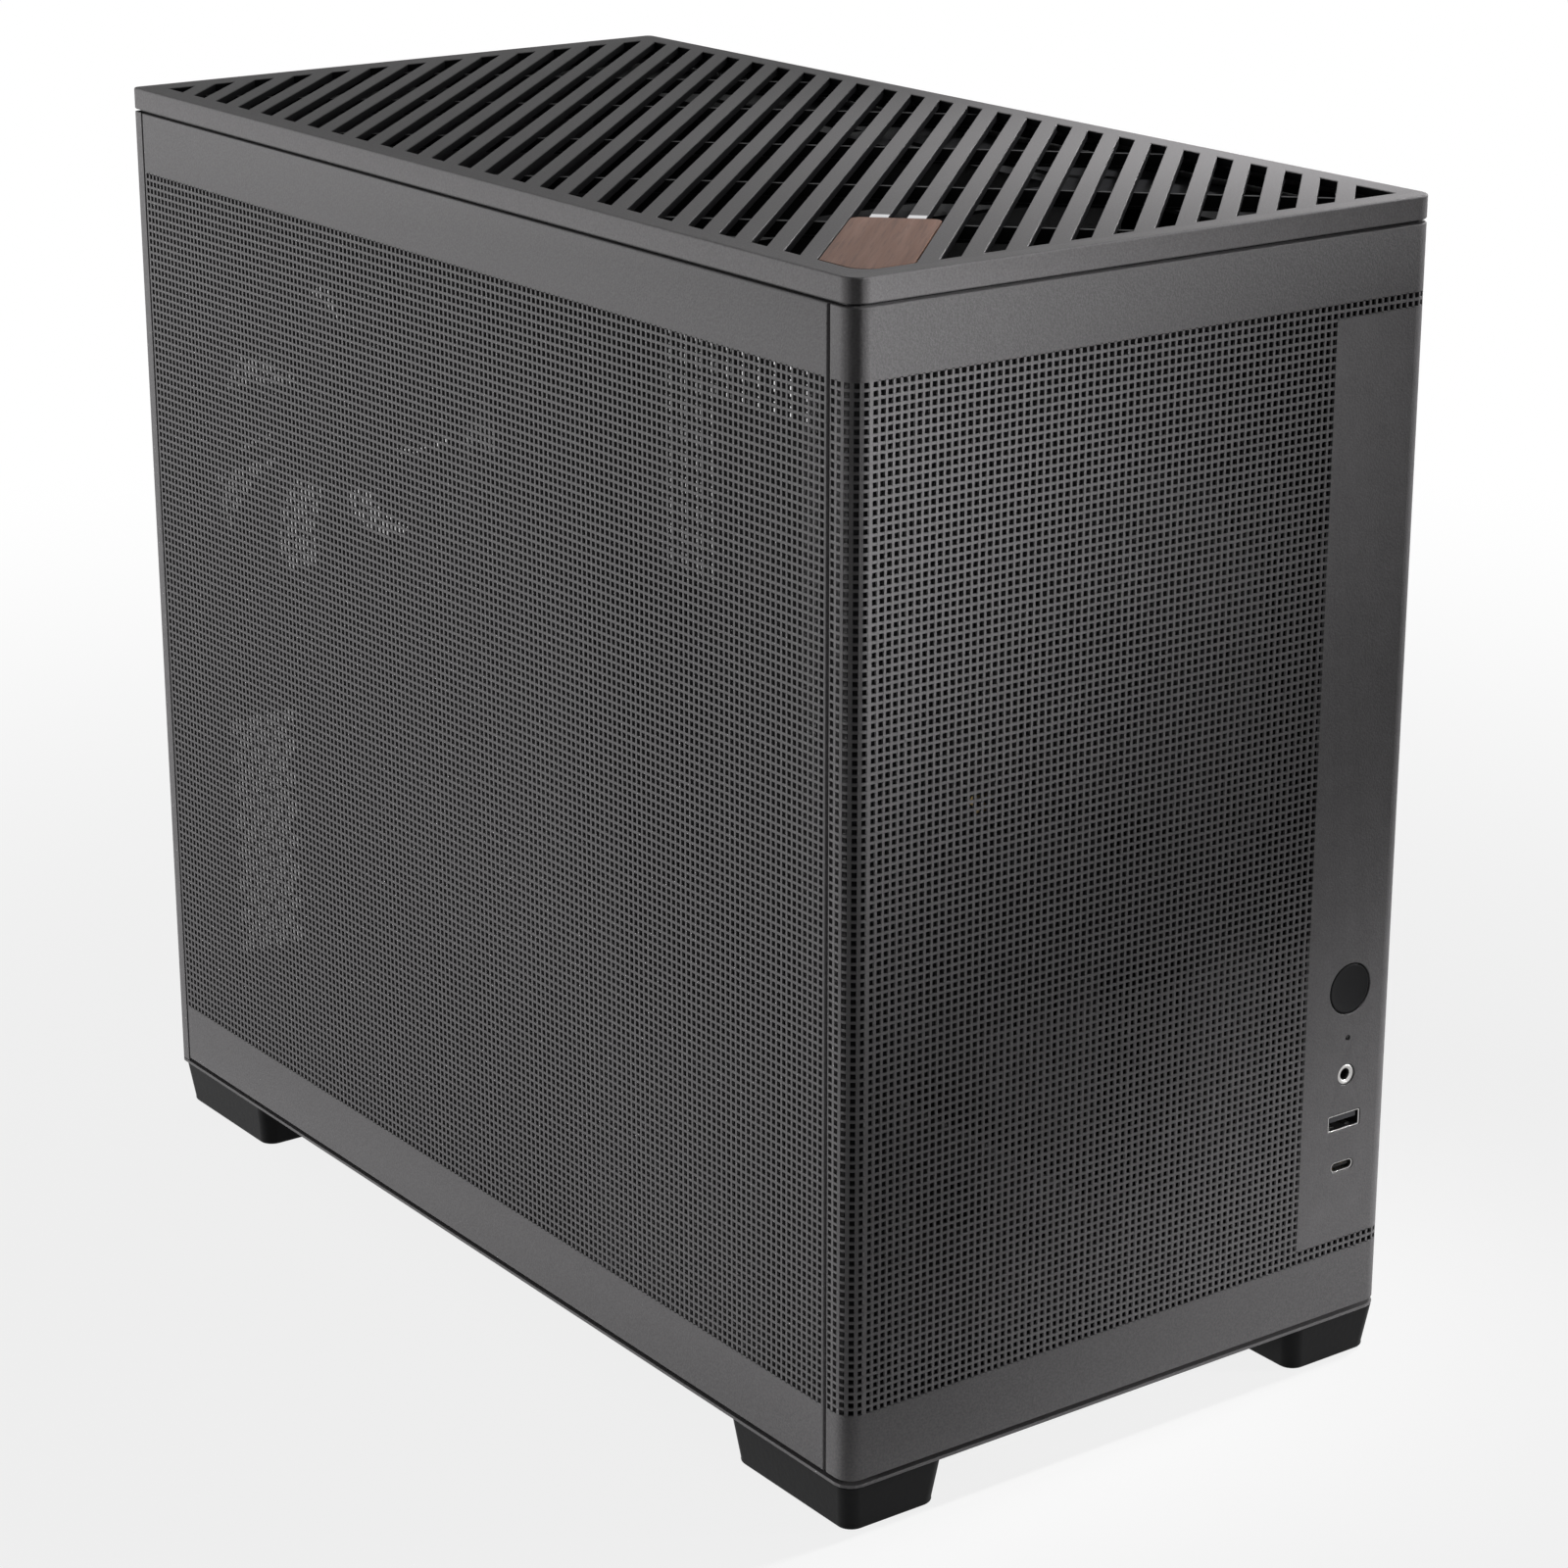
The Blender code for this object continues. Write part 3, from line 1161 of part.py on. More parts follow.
def make_controls(carrier_finish, button_finish, lens_finish, steel, black, board_finish):
    """Power button, indicator lens, sockets, their moulded carrier and the circuit board."""
    face = -HALF_D + SOCKET_INSET
    behind = -HALF_D + SHEET
    carrier_front = behind + BUTTON_GAP + 1.5 + BUTTON_TRAVEL + BUTTON_GAP
    board_front = face + SOCKET_DEPTH + 1.2
    z_button = below_top(BUTTON_DROP)
    middle = (z_button + below_top(USB_C_DROP)) / 2
    half_x = CARRIER_SIZE[0] / 2
    half_z = CARRIER_SIZE[1] / 2
    outline = rectangle(IO_X - half_x, IO_X + half_x, middle - half_z, middle + half_z)
    carrier_back = FRAME_FRONT_Y - FIT
    carrier = solid_group(
        "io_carrier", [prism(outline, carrier_front, carrier_back, "Y")], carrier_finish
    )
    wall = 1.8
    board = rectangle(
        IO_X - half_x + wall, IO_X + half_x - wall, middle - half_z + wall, middle + half_z - wall
    )
    pocket_front = board_front - FIT
    cut(carrier, [prism(board, pocket_front, carrier_back + 1.0, "Y")], "carrier_pocket")
    bores = [
        circle(IO_X, z_button, BUTTON_RADIUS + BUTTON_GAP, 24),
        circle(IO_X, below_top(LED_DROP), LED_BODY_RADIUS + SOCKET_GAP, 8),
        circle(IO_X, below_top(JACK_DROP), JACK_RADIUS + SOCKET_GAP, 16),
        io_outline(USB_A_SIZE, USB_A_DROP, SOCKET_GAP),
        io_outline(USB_C_SIZE, USB_C_DROP, SOCKET_GAP),
    ]
    cuts = [prism(bore, carrier_front - 1.0, pocket_front + 1.0, "Y") for bore in bores]
    cut(carrier, cuts, "carrier_bores")

    board_outline = rectangle(
        IO_X - half_x + wall + FIT,
        IO_X + half_x - wall - FIT,
        middle - half_z + wall + FIT,
        middle + half_z - wall - FIT,
    )
    solid_group(
        "io_board", [prism(board_outline, board_front, board_front + BOARD_THICKNESS, "Y")], board_finish
    )

    flange_front = behind + BUTTON_GAP
    profile = [
        (0.0, face),
        (BUTTON_RADIUS - 0.4, face),
        (BUTTON_RADIUS, face + 0.4),
        (BUTTON_RADIUS, flange_front),
        (BUTTON_FLANGE, flange_front),
        (BUTTON_FLANGE, flange_front + 1.5),
        (BUTTON_RADIUS, flange_front + 1.5),
        (BUTTON_RADIUS, carrier_front + 4.0),
        (2.0, carrier_front + 4.0),
        (2.0, board_front - BUTTON_TRAVEL - BUTTON_GAP),
        (0.0, board_front - BUTTON_TRAVEL - BUTTON_GAP),
    ]
    turned("power_button", profile, 20, button_finish, (IO_X, z_button))

    lens_back = board_front - FIT
    profile = [
        (0.0, face),
        (LED_RADIUS, face),
        (LED_RADIUS, behind + FIT),
        (LED_BODY_RADIUS, behind + FIT),
        (LED_BODY_RADIUS, lens_back),
        (0.0, lens_back),
    ]
    turned("indicator_lens", profile, 8, lens_finish, (IO_X, below_top(LED_DROP)))

    profile = [
        (0.0, face + SOCKET_DEPTH - 1.0),
        (JACK_BORE, face + SOCKET_DEPTH - 1.0),
        (JACK_BORE, face),
        (JACK_RADIUS - 0.3, face),
        (JACK_RADIUS, face + 0.3),
        (JACK_RADIUS, lens_back),
        (0.0, lens_back),
    ]
    turned("audio_jack", profile, 20, steel, (IO_X, below_top(JACK_DROP)))

    for name, size, drop, finish, tongue in (
        ("usb_a_socket", USB_A_SIZE, USB_A_DROP, black, (11.0, 1.6)),
        ("usb_c_socket", USB_C_SIZE, USB_C_DROP, steel, (6.4, 0.7)),
    ):
        z = below_top(drop)
        shell = solid_group(name, [prism(io_outline(size, drop, 0.0), face, lens_back, "Y")], finish)
        bore = prism(io_outline(size, drop, -SOCKET_WALL), face - 1.0, face + SOCKET_DEPTH - 2.0, "Y")
        cut(shell, [bore], name + "_bore")
        blade_outline = rectangle(
            IO_X - tongue[0] / 2, IO_X + tongue[0] / 2, z - tongue[1] / 2, z + tongue[1] / 2
        )
        fuse(shell, [prism(blade_outline, face + 1.0, lens_back - FUSE, "Y")], name + "_tongue")


def foot_ring(cx, cy, inset, z):
    half_x = FOOT_WIDTH / 2 - inset
    half_y = FOOT_LENGTH / 2 - inset
    outline = rounded(
        cx - half_x, cx + half_x, cy - half_y, cy + half_y, (FOOT_CORNER, FOOT_CORNER), 3
    )
    return [(x, y, z) for x, y in outline]


def make_feet(finish, rubber):
    """Tapered moulded feet under the corners, each with a rubber pad let into its sole."""
    taper = math.tan(math.radians(FOOT_TAPER))
    rise = FOOT_HEIGHT - PAD_STAND - FOOT_BOTTOM_EDGE
    for x_name, sx in (("left", -1), ("right", 1)):
        for y_name, sy in (("front", -1), ("rear", 1)):
            cx = sx * (HALF_W - FOOT_INSET - FOOT_WIDTH / 2)
            cy = sy * (HALF_D - FOOT_INSET - FOOT_LENGTH / 2)
            rings = [
                foot_ring(cx, cy, taper * rise + FOOT_BOTTOM_EDGE * 0.7, PAD_STAND),
                foot_ring(cx, cy, taper * rise, PAD_STAND + FOOT_BOTTOM_EDGE),
                foot_ring(cx, cy, 0.0, FOOT_HEIGHT),
            ]
            count = len(rings[0])
            points = rings[0] + rings[1] + rings[2]
            faces = [list(range(count))[::-1], list(range(2 * count, 3 * count))]
            for level in range(2):
                for i in range(count):
                    j = (i + 1) % count
                    a = level * count
                    faces.append([a + i, a + j, a + count + j, a + count + i])
            foot = mesh_object(f"foot_{y_name}_{x_name}", points, faces, finish)
            smooth(foot)
            half_x = FOOT_WIDTH / 2 - PAD_MARGIN
            half_y = FOOT_LENGTH / 2 - PAD_MARGIN
            hole = rounded(cx - half_x, cx + half_x, cy - half_y, cy + half_y, (3.0, 3.0), 2)
            cut(foot, [prism(hole, -1.0, PAD_HEIGHT + FIT, "Z")], f"foot_{y_name}_{x_name}_pocket")
            half_x -= FIT
            half_y -= FIT
            sole = rounded(cx - half_x, cx + half_x, cy - half_y, cy + half_y, (2.7, 2.7), 2)
            solid_group(f"foot_pad_{y_name}_{x_name}", [prism(sole, 0.0, PAD_HEIGHT, "Z")], rubber)


def make_bottom_filter(frame_finish, rail_finish):
    """Slide-out dust filter under the floor, and the two runners that carry it."""
    z1 = PAN_BOTTOM - FILTER_GAP
    z0 = z1 - FILTER_THICKNESS
    half_y = FILTER_HALF_LENGTH
    half_x = FILTER_HALF_WIDTH
    outline = rectangle(-half_x, half_x, -half_y, half_y)
    filt = solid_group("bottom_filter", [prism(outline, z0, z1, "Z")], frame_finish)
    middle = (z0 + z1) / 2
    windows = []
    for y0, y1 in ((-half_y + FILTER_RIM, -FILTER_RIM / 2), (FILTER_RIM / 2, half_y - FILTER_RIM)):
        window = rectangle(-half_x + FILTER_RIM, half_x - FILTER_RIM, y0, y1)
        windows.append(prism(window, z0 - 1.0, middle - FILTER_MESH / 2, "Z"))
        windows.append(prism(window, middle + FILTER_MESH / 2, z1 + 1.0, "Z"))
    cut(filt, windows, "filter_windows")
    for name, side in (("left", -1), ("right", 1)):
        inner = half_x + FILTER_GAP
        outer = inner + RUNNER_WALL
        lip = outer - RUNNER_LIP
        lip_top = z0 - FIT
        lip_low = lip_top - RUNNER_WALL
        top = PAN_BOTTOM - FIT
        profile = [
            (side * lip, lip_low),
            (side * outer, lip_low),
            (side * outer, top),
            (side * inner, top),
            (side * inner, lip_top),
            (side * lip, lip_top),
        ]
        half = half_y + RUNNER_EXTRA
        solid_group(f"filter_runner_{name}", [prism(profile, -half, half, "Y")], rail_finish)


def make_power_inlet(finish):
    """Panel socket for the supply lead, set into the rear wall from inside."""
    z = inlet_z()
    back = WALL_INNER_Y - FIT
    half = (INLET_FLANGE[0] / 2, INLET_FLANGE[1] / 2)
    flange = rectangle(INLET_X - half[0], INLET_X + half[0], z - half[1], z + half[1])
    inlet = solid_group("power_inlet", [prism(flange, back - 2.0, back, "Y")], finish)
    half = (INLET_BODY[0] / 2, INLET_BODY[1] / 2)
    body = rectangle(INLET_X - half[0], INLET_X + half[0], z - half[1], z + half[1])
    fuse(inlet, [prism(body, HALF_D - INLET_DEPTH - 2.0, HALF_D - 0.2, "Y")], "inlet_body")
    half = (INLET_SOCKET[0] / 2, INLET_SOCKET[1] / 2)
    socket = [
        (INLET_X - half[0], z - half[1]),
        (INLET_X + half[0], z - half[1]),
        (INLET_X + half[0], z + half[1] - 4.0),
        (INLET_X + half[0] - 4.0, z + half[1]),
        (INLET_X - half[0] + 4.0, z + half[1]),
        (INLET_X - half[0], z + half[1] - 4.0),
    ]
    cut(inlet, [prism(socket, HALF_D - INLET_DEPTH, HALF_D + 1.0, "Y")], "inlet_socket")
    pins = []
    for x, dz in ((-7.0, -1.0), (0.0, 3.0), (7.0, -1.0)):
        pins.append(
            box(
                (INLET_X + x - 1.0, HALF_D - INLET_DEPTH - FUSE, z + dz - 2.0),
                (INLET_X + x + 1.0, HALF_D - 4.0, z + dz + 2.0),
            )
        )
    fuse(inlet, pins, "inlet_pins")


def main():
    clear_scene()
    steel_grey = material("powder_coat_grey", (0.155, 0.150, 0.154), 0.5, 0.2)
    cover_grey = material("cover_grey", (0.165, 0.160, 0.163), 0.5, 0.1)
    chassis_black = material("chassis_black", (0.02, 0.02, 0.021), 0.55, 0.3)
    foot_black = material("foot_black", (0.012, 0.012, 0.013), 0.6, 0.0)
    rubber_black = material("rubber_black", (0.01, 0.01, 0.01), 0.85, 0.0)
    walnut = material("walnut", (0.27, 0.18, 0.15), 0.45, 0.0)
    satin_metal = material("satin_metal", (0.55, 0.53, 0.52), 0.35, 0.9)
    button_black = material("button_black", (0.018, 0.018, 0.019), 0.45, 0.1)
    lens_smoke = material("lens_smoke", (0.02, 0.02, 0.02), 0.2, 0.0)
    socket_black = material("socket_black", (0.01, 0.01, 0.01), 0.5, 0.0)
    board_green = material("board_green", (0.01, 0.05, 0.03), 0.5, 0.0)
    brass = material("brass", (0.45, 0.32, 0.12), 0.35, 0.9)
    fan_black = material("fan_black", (0.015, 0.015, 0.016), 0.45, 0.0)

    make_top_cover(cover_grey)
    make_badge(walnut, satin_metal)
    make_front_panel(steel_grey)
    make_side_panel("left_side_panel", -1, steel_grey)
    make_side_panel("right_side_panel", 1, steel_grey)
    make_base_pan(steel_grey)
    make_rear_wall(steel_grey)
    make_slot_covers(chassis_black)
    make_slot_clamp(chassis_black, satin_metal)
    make_motherboard_tray(chassis_black)
    make_grommets(rubber_black)
    make_standoffs(brass)
    make_drive_bracket(chassis_black)
    make_front_frame(chassis_black)
    make_psu_cage(chassis_black)
    make_top_frame(chassis_black)
    make_rear_fan(fan_black, fan_black)
    make_controls(
        socket_black, button_black, lens_smoke, satin_metal, socket_black, board_green
    )
    make_feet(foot_black, rubber_black)
    make_bottom_filter(socket_black, chassis_black)
    make_power_inlet(socket_black)


main()
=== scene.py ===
"""Dresses the micro ATX case in its real surfaces and small parts.

Perforated steel panels, slotted cover, wooden badge, sockets, feet, back wall and fan.
"""

import math

import bpy
from mathutils import Matrix, Vector
from mathutils.geometry import tessellate_polygon


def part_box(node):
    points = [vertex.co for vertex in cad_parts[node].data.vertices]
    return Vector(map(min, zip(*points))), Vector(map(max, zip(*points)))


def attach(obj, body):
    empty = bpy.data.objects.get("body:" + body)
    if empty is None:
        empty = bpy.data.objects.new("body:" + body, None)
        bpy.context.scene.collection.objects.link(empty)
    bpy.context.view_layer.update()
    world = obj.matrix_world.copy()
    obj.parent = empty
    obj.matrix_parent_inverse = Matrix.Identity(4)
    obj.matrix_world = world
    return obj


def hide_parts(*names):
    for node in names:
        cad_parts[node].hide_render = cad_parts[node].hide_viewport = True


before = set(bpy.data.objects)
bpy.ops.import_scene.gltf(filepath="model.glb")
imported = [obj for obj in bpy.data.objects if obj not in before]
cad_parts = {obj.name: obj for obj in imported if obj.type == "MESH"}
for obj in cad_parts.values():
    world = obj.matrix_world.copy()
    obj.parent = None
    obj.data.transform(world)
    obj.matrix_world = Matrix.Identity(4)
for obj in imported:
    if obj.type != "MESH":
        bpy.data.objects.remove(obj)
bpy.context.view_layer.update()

MM = 0.001
ROOT2 = math.sqrt(2.0)
BLACK = (0.0, 0.0, 0.0, 1.0)
WHITE = (1.0, 1.0, 1.0, 1.0)
BACKWARD = (0.0, 1.0, 0.0)

# Case, in millimetres, as in the frame
HALF_W = 106.5
HALF_D = 203.5
CASE_TOP = 372.0
PANEL_BOTTOM = 18.1
PANEL_TOP = 363.9
SHEET = 1.0
FRONT_CORNER = 6.0
REAR_CORNER = 2.5
FRONT_SEAM_Y = -193.2
SIDE_FRONT_Y = -192.1
SIDE_REAR_Y = 196.9
EDGE_BEND = 0.5
INNER_BEND = 0.3
RETURN_DEPTH = 5.6

# Perforation
HOLE = 1.65
ROWS = 122
ROW_FIRST = 342.9
ROW_LAST = 40.1
ROW_PITCH = (ROW_FIRST - ROW_LAST) / (ROWS - 1)
FRONT_COLUMNS = 68
FRONT_FIRST = -98.7
FRONT_LAST = 68.2
FRONT_PITCH = (FRONT_LAST - FRONT_FIRST) / (FRONT_COLUMNS - 1)
BEND_HOLES = (-112.65, -110.05, -107.3, -104.4, -101.6)
EXTRA_COLUMNS = 15
SIDE_COLUMNS = 155
SIDE_FIRST = -190.15
SIDE_LAST = 194.85
SIDE_PITCH = (SIDE_LAST - SIDE_FIRST) / (SIDE_COLUMNS - 1)
WEFT_INSET = 0.03
LAP = 0.3
FRONT_MESH = 0.65
SIDE_MESH = 0.8

# Controls, on one upright line
IO_X = 87.0
IO_FACE = -HALF_D + 0.2
IO_BACK = -191.4
BUTTON_Z = 127.9
LED_Z = 111.5
JACK_Z = 99.3
USB_A_Z = 83.7
USB_C_Z = 68.5
BUTTON_HOLE, LED_HOLE, JACK_HOLE = 8.4, 0.9, 3.5
USB_A_SIZE, USB_C_SIZE = (13.2, 5.3), (9.0, 3.2)

# Top cover
SKIRT_BOTTOM = 364.9
COVER_WALL = 2.0
COVER_UNDERSIDE = 369.5
COVER_EDGE = 0.6
RIB_BOTTOM = 365.3
WINDOW = (-97.9, 97.9, -195.4, 193.0)
SLOT_PITCH = 10.8
SLOT_WIDTH = 5.2
BAR_PHASE = 1.5
SLOT_CHAMFER = 0.22
TIP_LENGTH = 4.8
BADGE_SLOT = -7
BADGE_WIDTH = 2 * SLOT_PITCH + SLOT_WIDTH
BADGE_END = (WINDOW[0] + WINDOW[2]) / ROOT2 + 77.2

# Feet
FOOT_CENTRE = (87.6, 172.85)
FOOT_HALF = (18.5, 30.25)
FOOT_TAPER = math.tan(math.radians(7.6))

# Back of the case
WALL_BOTTOM = 17.1
FAN_X, FAN_Z = -38.0, 245.0
FAN_FRONT, FAN_BACK = 177.2, 202.2
FAN_HALF = 60.0
FAN_DUCT = 57.5
FAN_SCREWS = [(FAN_X + sx * 52.5, FAN_Z + sz * 52.5) for sx in (-1, 1) for sz in (-1, 1)]
FAN_BLADES = 7
INLET_X, INLET_Z = -68.0, 32.3
CARD_HEIGHTS = [137.0 - 20.32 * k for k in range(5)]
CARD_LEFT, CARD_RIGHT, CARD_HALF = -35.5, 68.5, 7.2
BOARD_OPENING = (30.0, 74.4, 150.5, 309.2)
SUPPLY_VENT = (-84.0, -50.0, 48.5, 144.2)
INLET_OPENING = (INLET_X - 13.8, INLET_X + 13.8, 22.2, 42.4)

# Power supply cage
CAGE_X, CAGE_Z = 0.5, 240.0
CAGE_FRONT, CAGE_BACK = -184.7, -94.7

# Studio
WORLD_LIGHT = 0.12
FLOOR_REACH = 14.0
FLOOR_GLOW = 0.75
# glow share of the floor close to the case, lower than far off: painted shade round the case
FLOOR_NEAR = 0.84
LEFT_LAMP = 195.0
UPPER_LAMP = 0.46
LOWER_LAMP = 0.10
TOP_LAMP = 0.5
BACK_LAMP = 9.0


# ---------------- finishes

class Value:
    """A socket that varies over a surface; sums and products of it add Math nodes."""

    def __init__(self, nodes, socket):
        self.nodes = nodes
        self.socket = socket

    def made(self, operation, first, second):
        return self.nodes.node("ShaderNodeMath", {"operation": operation}, {0: first, 1: second})

    def __add__(self, other):
        return self.made("ADD", self, other)

    def __sub__(self, other):
        return self.made("SUBTRACT", self, other)

    def __rsub__(self, other):
        return self.made("SUBTRACT", other, self)

    def __mul__(self, other):
        return self.made("MULTIPLY", self, other)

    def __gt__(self, other):
        return self.made("GREATER_THAN", self, other)

    __radd__ = __add__
    __rmul__ = __mul__

    def most(self, other):
        """The larger of two values."""
        return self.made("MAXIMUM", self, other)


class Nodes:
    """A cleared node tree, with one way to add a node to it."""

    def __init__(self, tree):
        self.tree = tree
        tree.nodes.clear()

    def node(self, kind, settings=None, inputs=None, output=0):
        """Adds a node of a type: its settings first, then the values or links of its sockets."""
        made = self.tree.nodes.new(kind)
        for key, value in (settings or {}).items():
            if key == "stops":
                stops = made.color_ramp.elements
                while len(stops) < len(value):
                    stops.new(0.5)
                for stop, (place, colour) in zip(stops, value):
                    stop.position = place
                    stop.color = colour
            else:
                setattr(made, key, value)
        for key, value in (inputs or {}).items():
            if isinstance(value, Value):
                self.tree.links.new(value.socket, made.inputs[key])
            else:
                made.inputs[key].default_value = value
        return Value(self, made.outputs[output] if made.outputs else None)

    def rays(self, *kinds):
        """For each kind of ray a value that is 1 where such a ray looks."""
        return [self.node("ShaderNodeLightPath", output=f"Is {kind} Ray") for kind in kinds]

    def blend(self, factor, first, second):
        """One shader over another."""
        return self.node("ShaderNodeMixShader", None, {0: factor, 1: first, 2: second})


class Finish(Nodes):
    """A material whose shader sockets are gathered first and filled when it is done."""

    def __init__(self, name, colour, roughness, metallic=0.0, specular=0.5, coat=0.0):
        self.material = bpy.data.materials.new(name)
        self.material.use_nodes = True
        self.material.diffuse_color = (*colour, 1.0)
        super().__init__(self.material.node_tree)
        self.roughness = roughness
        self.sockets = {
            "Base Color": (*colour, 1.0),
            "Roughness": roughness,
            "Metallic": metallic,
            "Specular IOR Level": specular,
            "Coat Weight": coat,
        }

    def place(self, stretch=(1.0, 1.0, 1.0), turn=0.0):
        """Object coordinates, turned about the upright axis and then stretched."""
        where = self.node("ShaderNodeTexCoord", output="Object")
        settings = {"vector_type": "POINT"}
        if turn:
            turned = {"Vector": where, "Rotation": (0.0, 0.0, turn)}
            where = self.node("ShaderNodeMapping", settings, turned)
        return self.node("ShaderNodeMapping", settings, {"Vector": where, "Scale": stretch})

    def noise(self, where, scale, detail=2.0, roughness=0.5):
        inputs = {"Vector": where, "Scale": scale, "Detail": detail, "Roughness": roughness}
        return self.node("ShaderNodeTexNoise", None, inputs)

    def mix(self, factor, first, second):
        inputs = {0: factor, 6: first, 7: second}
        return self.node("ShaderNodeMix", {"data_type": "RGBA"}, inputs, 2)

    def ramp(self, factor, *stops):
        return self.node("ShaderNodeValToRGB", {"stops": stops}, {0: factor})

    def base(self, colour):
        self.sockets["Base Color"] = colour

    def rough(self, pattern, swing):
        """Lets the roughness swing about its middle value with a pattern."""
        self.sockets["Roughness"] = self.roughness + (pattern - 0.5) * swing

    def bump(self, height, distance):
        inputs = {"Strength": 1.0, "Distance": distance, "Height": height}
        self.sockets["Normal"] = self.node("ShaderNodeBump", None, inputs)

    def shader(self):
        return self.node("ShaderNodeBsdfPrincipled", None, self.sockets)

    def done(self, surface=None):
        self.node("ShaderNodeOutputMaterial", None, {"Surface": surface or self.shader()})
        return self.material


def shade(colour, share):
    """A darker or paler tone of a colour."""
    return (*[min(1.0, channel * share) for channel in colour], 1.0)


def powder_coat(name, colour, roughness, gloss=0.06, sparkle=0.5, wear=0.3):
    """Fine textured paint: a speckled colour, uneven gloss, and a pale rub along sharp edges."""
    finish = Finish(name, colour, roughness, specular=gloss)
    where = finish.place()
    fine = finish.noise(where, 1500.0, 3.0, 0.6)
    broad = finish.noise(where, 9.0)
    speckle = finish.mix(fine, shade(colour, 1.0 - sparkle), shade(colour, 1.0 + sparkle))
    cloud = finish.mix(broad * 0.5, speckle, shade(colour, 1.06))
    sharp = finish.node("ShaderNodeNewGeometry", output="Pointiness")
    rub = finish.ramp(sharp, (0.52, BLACK), (0.6, WHITE)) * finish.noise(where, 160.0, 3.0)
    finish.base(finish.mix(rub * wear, cloud, shade(colour, 1.9)))
    finish.rough(fine, 0.12)
    finish.bump(fine, 0.00008)
    return finish.done()


def bare_metal(name, colour, roughness, scratch=(900.0, 900.0, 30.0), texture=0.00001):
    """Plated or drawn metal with fine lines in one direction, or an even grain."""
    finish = Finish(name, colour, roughness, metallic=1.0)
    lines = finish.noise(finish.place(scratch), 1.0, 4.0, 0.6)
    finish.base(finish.mix(lines, shade(colour, 0.82), shade(colour, 1.08)))
    finish.rough(lines, 0.14)
    finish.bump(lines, texture)
    return finish.done()


def moulded(name, colour, roughness, grain=700.0, texture=0.00004, coat=0.0):
    """Moulded plastic or rubber with an eroded mould texture."""
    finish = Finish(name, colour, roughness, specular=0.08, coat=coat)
    where = finish.place()
    fine = finish.noise(where, grain, 2.0, 0.55)
    broad = finish.noise(where, 25.0)
    finish.base(finish.mix(broad, shade(colour, 0.9), shade(colour, 1.12)))
    finish.rough(fine, 0.1)
    finish.bump(fine, texture)
    return finish.done()


def oiled_walnut():
    """Oiled walnut with its grain along the slots of the cover."""
    dark, middle, pale = (0.19, 0.096, 0.066), (0.27, 0.15, 0.11), (0.36, 0.215, 0.165)
    finish = Finish("oiled_walnut", middle, 0.46, specular=0.04)
    slots = math.radians(-45.0)
    pores = finish.noise(finish.place((55.0, 900.0, 900.0), slots), 1.0, 4.0, 0.65)
    bands = finish.noise(finish.place((14.0, 260.0, 260.0), slots), 1.0, 3.0)
    stops = [(at, (*colour, 1.0)) for at, colour in ((0.25, dark), (0.5, middle), (0.75, pale))]
    closed = finish.ramp(pores, (0.36, BLACK), (0.5, WHITE))
    wood = finish.ramp(bands, *stops)
    finish.base(finish.mix((1 - closed) * 0.45, wood, (0.11, 0.055, 0.038, 1.0)))
    finish.rough(pores, 0.16)
    finish.bump(pores, 0.00008)
    return finish.done()


def circuit_board():
    """Matt black solder mask with faint tracks, a few millimetres apart."""
    finish = Finish("black_board", (0.012, 0.016, 0.014), 0.38)
    inputs = {"Vector": finish.place((420.0, 420.0, 420.0)), "Scale": 1.0}
    cells = finish.node("ShaderNodeTexVoronoi", {"distance": "MANHATTAN"}, inputs)
    track = cells > 0.42
    finish.base(finish.mix(track * 0.6, (0.012, 0.016, 0.014, 1.0), (0.03, 0.04, 0.034, 1.0)))
    finish.bump(cells, 0.00003)
    return finish.done()


def nylon_weave():
    """Black nylon mesh, woven at about half a millimetre."""
    finish = Finish("filter_weave", (0.02, 0.02, 0.021), 0.7)
    where = finish.place()
    inputs = {"Vector": where, "Scale": 600.0, "Distortion": 0.0}
    warp, weft = [
        finish.node("ShaderNodeTexWave", {"bands_direction": direction}, inputs, "Fac")
        for direction in ("X", "Y")
    ]
    cloth = warp.most(weft)
    finish.base(finish.mix(cloth, (0.003, 0.003, 0.003, 1.0), (0.035, 0.035, 0.036, 1.0)))
    finish.rough(finish.noise(where, 60.0), 0.16)
    finish.bump(cloth, 0.00025)
    return finish.done()


panel_coat = powder_coat("panel_powder_coat", (0.155, 0.151, 0.154), 0.5, 0.03)
cover_coat = powder_coat("cover_powder_coat", (0.172, 0.167, 0.17), 0.46, 0.02)
# black chassis paint; on the cover's slot walls, lip and ribs the same black stands for painted
# shade
black_coat_and_shade = powder_coat("chassis_black", (0.011, 0.011, 0.012), 0.5, sparkle=0.35, wear=0.12)
moulded_black = moulded("moulded_black", (0.012, 0.012, 0.013), 0.42)
foot_black = moulded("foot_black", (0.009, 0.009, 0.0095), 0.48, 500.0, 0.00006)
button_black = moulded("button_black", (0.018, 0.018, 0.019), 0.4, 1200.0, 0.00002)
soft_rubber = moulded("soft_rubber", (0.016, 0.016, 0.016), 0.78, 300.0, 0.00005)
fan_black = moulded("fan_black", (0.014, 0.014, 0.015), 0.33, 400.0, 0.00002)
tongue_black = moulded("tongue_black", (0.03, 0.03, 0.031), 0.45, 900.0, 0.00001)
tongue_grey = moulded("tongue_grey", (0.075, 0.075, 0.08), 0.4, 900.0, 0.00001)
socket_shell = moulded("socket_shell", (0.03, 0.03, 0.032), 0.35, 900.0, 0.00001)
lens_smoke = moulded("lens_smoke", (0.012, 0.012, 0.013), 0.2, 300.0, 0.00001, coat=0.25)
nickel = bare_metal("nickel_plate", (0.62, 0.61, 0.6), 0.28)
